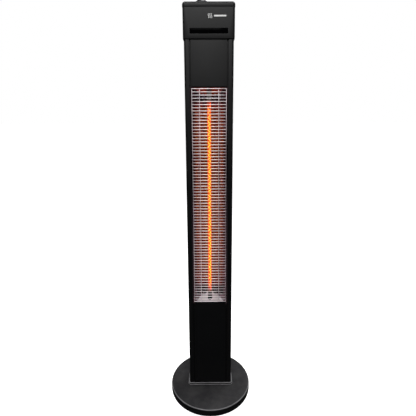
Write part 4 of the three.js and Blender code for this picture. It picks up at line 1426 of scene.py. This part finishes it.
class HEATER_OT_lamp(HeaterOperator, bpy.types.Operator):
    """Build the quartz lamp, its element, its ends and their holders"""

    bl_idname = "heater.lamp"
    bl_label = "Lamp"

    def execute(self, context):
        quartz_glass()
        heating_coil()
        for end in ("bottom", "top"):
            lamp_end(f"lamp_cap_{end}", end == "top")
            lamp_bracket(f"lamp_holder_{end}", end == "top")
        return {"FINISHED"}


class HEATER_OT_guard(HeaterOperator, bpy.types.Operator):
    """Build the welded wire guard and its stays"""

    bl_idname = "heater.guard"
    bl_label = "Guard"
    builders = (guard_wires,)


class HEATER_OT_head(HeaterOperator, bpy.types.Operator):
    """Build the head, its lid, its window and its mark"""

    bl_idname = "heater.head"
    bl_label = "Head"
    builders = (head_box, head_lid, window_pane, heat_symbol)


class HEATER_OT_switch(HeaterOperator, bpy.types.Operator):
    """Build the rocker switch"""

    bl_idname = "heater.switch"
    bl_label = "Switch"
    builders = (switch_frame, rocker_lever)


class HEATER_OT_inner_parts(HeaterOperator, bpy.types.Operator):
    """Give the inner CAD parts their finishes"""

    bl_idname = "heater.inner_parts"
    bl_label = "Inner Parts"
    builders = (dress_inner_parts,)


class HEATER_OT_stage(HeaterOperator, bpy.types.Operator):
    """Build the floor, the room, the lights and the camera"""

    bl_idname = "heater.stage"
    bl_label = "Stage"

    def execute(self, context):
        studio = context.scene.heater_studio
        context.scene.view_settings.view_transform = "Standard"
        plain_floor()
        room()
        soft_light("key", (-0.1, -2.0, 2.7), (0, 0, 0.9), 1.6, 1.0, studio.key)
        for name, side in (("top_left", -1), ("top_right", 1)):
            soft_light(name, (side * 0.7, 0.25, 2.4), (0, -0.02, 0.0), 0.9, 0.9, studio.top)
        soft_light("back", (1.7, 1.9, 0.7), (0, 0, 0.7), 1.0, 1.2, studio.back)
        studio_camera()
        return {"FINISHED"}


class HEATER_PT_panel(bpy.types.Panel):
    """Heater tools in the sidebar"""

    bl_label = "Column Heater"
    bl_space_type = "VIEW_3D"
    bl_region_type = "UI"
    bl_category = "Heater"

    def draw(self, context):
        for operator in OPERATORS:
            self.layout.operator(operator.bl_idname)
        for settings in ("heater_sizes", "heater_colours", "heater_studio"):
            holder = getattr(context.scene, settings)
            box = self.layout.box()
            for key in holder.__annotations__:
                box.prop(holder, key)


OPERATORS = (
    HEATER_OT_finishes,
    HEATER_OT_stage,
    HEATER_OT_base,
    HEATER_OT_feet,
    HEATER_OT_column,
    HEATER_OT_back,
    HEATER_OT_reflector,
    HEATER_OT_lamp,
    HEATER_OT_guard,
    HEATER_OT_head,
    HEATER_OT_switch,
    HEATER_OT_inner_parts,
)
SETTINGS = {"heater_sizes": HeaterSizes, "heater_colours": HeaterColours, "heater_studio": HeaterStudio}


def register():
    for holder in SETTINGS.values():
        bpy.utils.register_class(holder)
    for name, holder in SETTINGS.items():
        setattr(bpy.types.Scene, name, PointerProperty(type=holder))
    for operator in (*OPERATORS, HEATER_PT_panel):
        bpy.utils.register_class(operator)


def unregister():
    for operator in reversed((*OPERATORS, HEATER_PT_panel)):
        bpy.utils.unregister_class(operator)
    for name in SETTINGS:
        delattr(bpy.types.Scene, name)
    for holder in reversed(SETTINGS.values()):
        bpy.utils.unregister_class(holder)


def main():
    register()
    bpy.ops.heater.finishes()
    bpy.ops.heater.stage()
    bpy.ops.heater.base()
    bpy.ops.heater.feet()
    bpy.ops.heater.column()
    bpy.ops.heater.back()
    bpy.ops.heater.reflector()
    bpy.ops.heater.lamp()
    bpy.ops.heater.guard()
    bpy.ops.heater.head()
    bpy.ops.heater.switch()
    bpy.ops.heater.inner_parts()


if __name__ == "__main__":
    main()
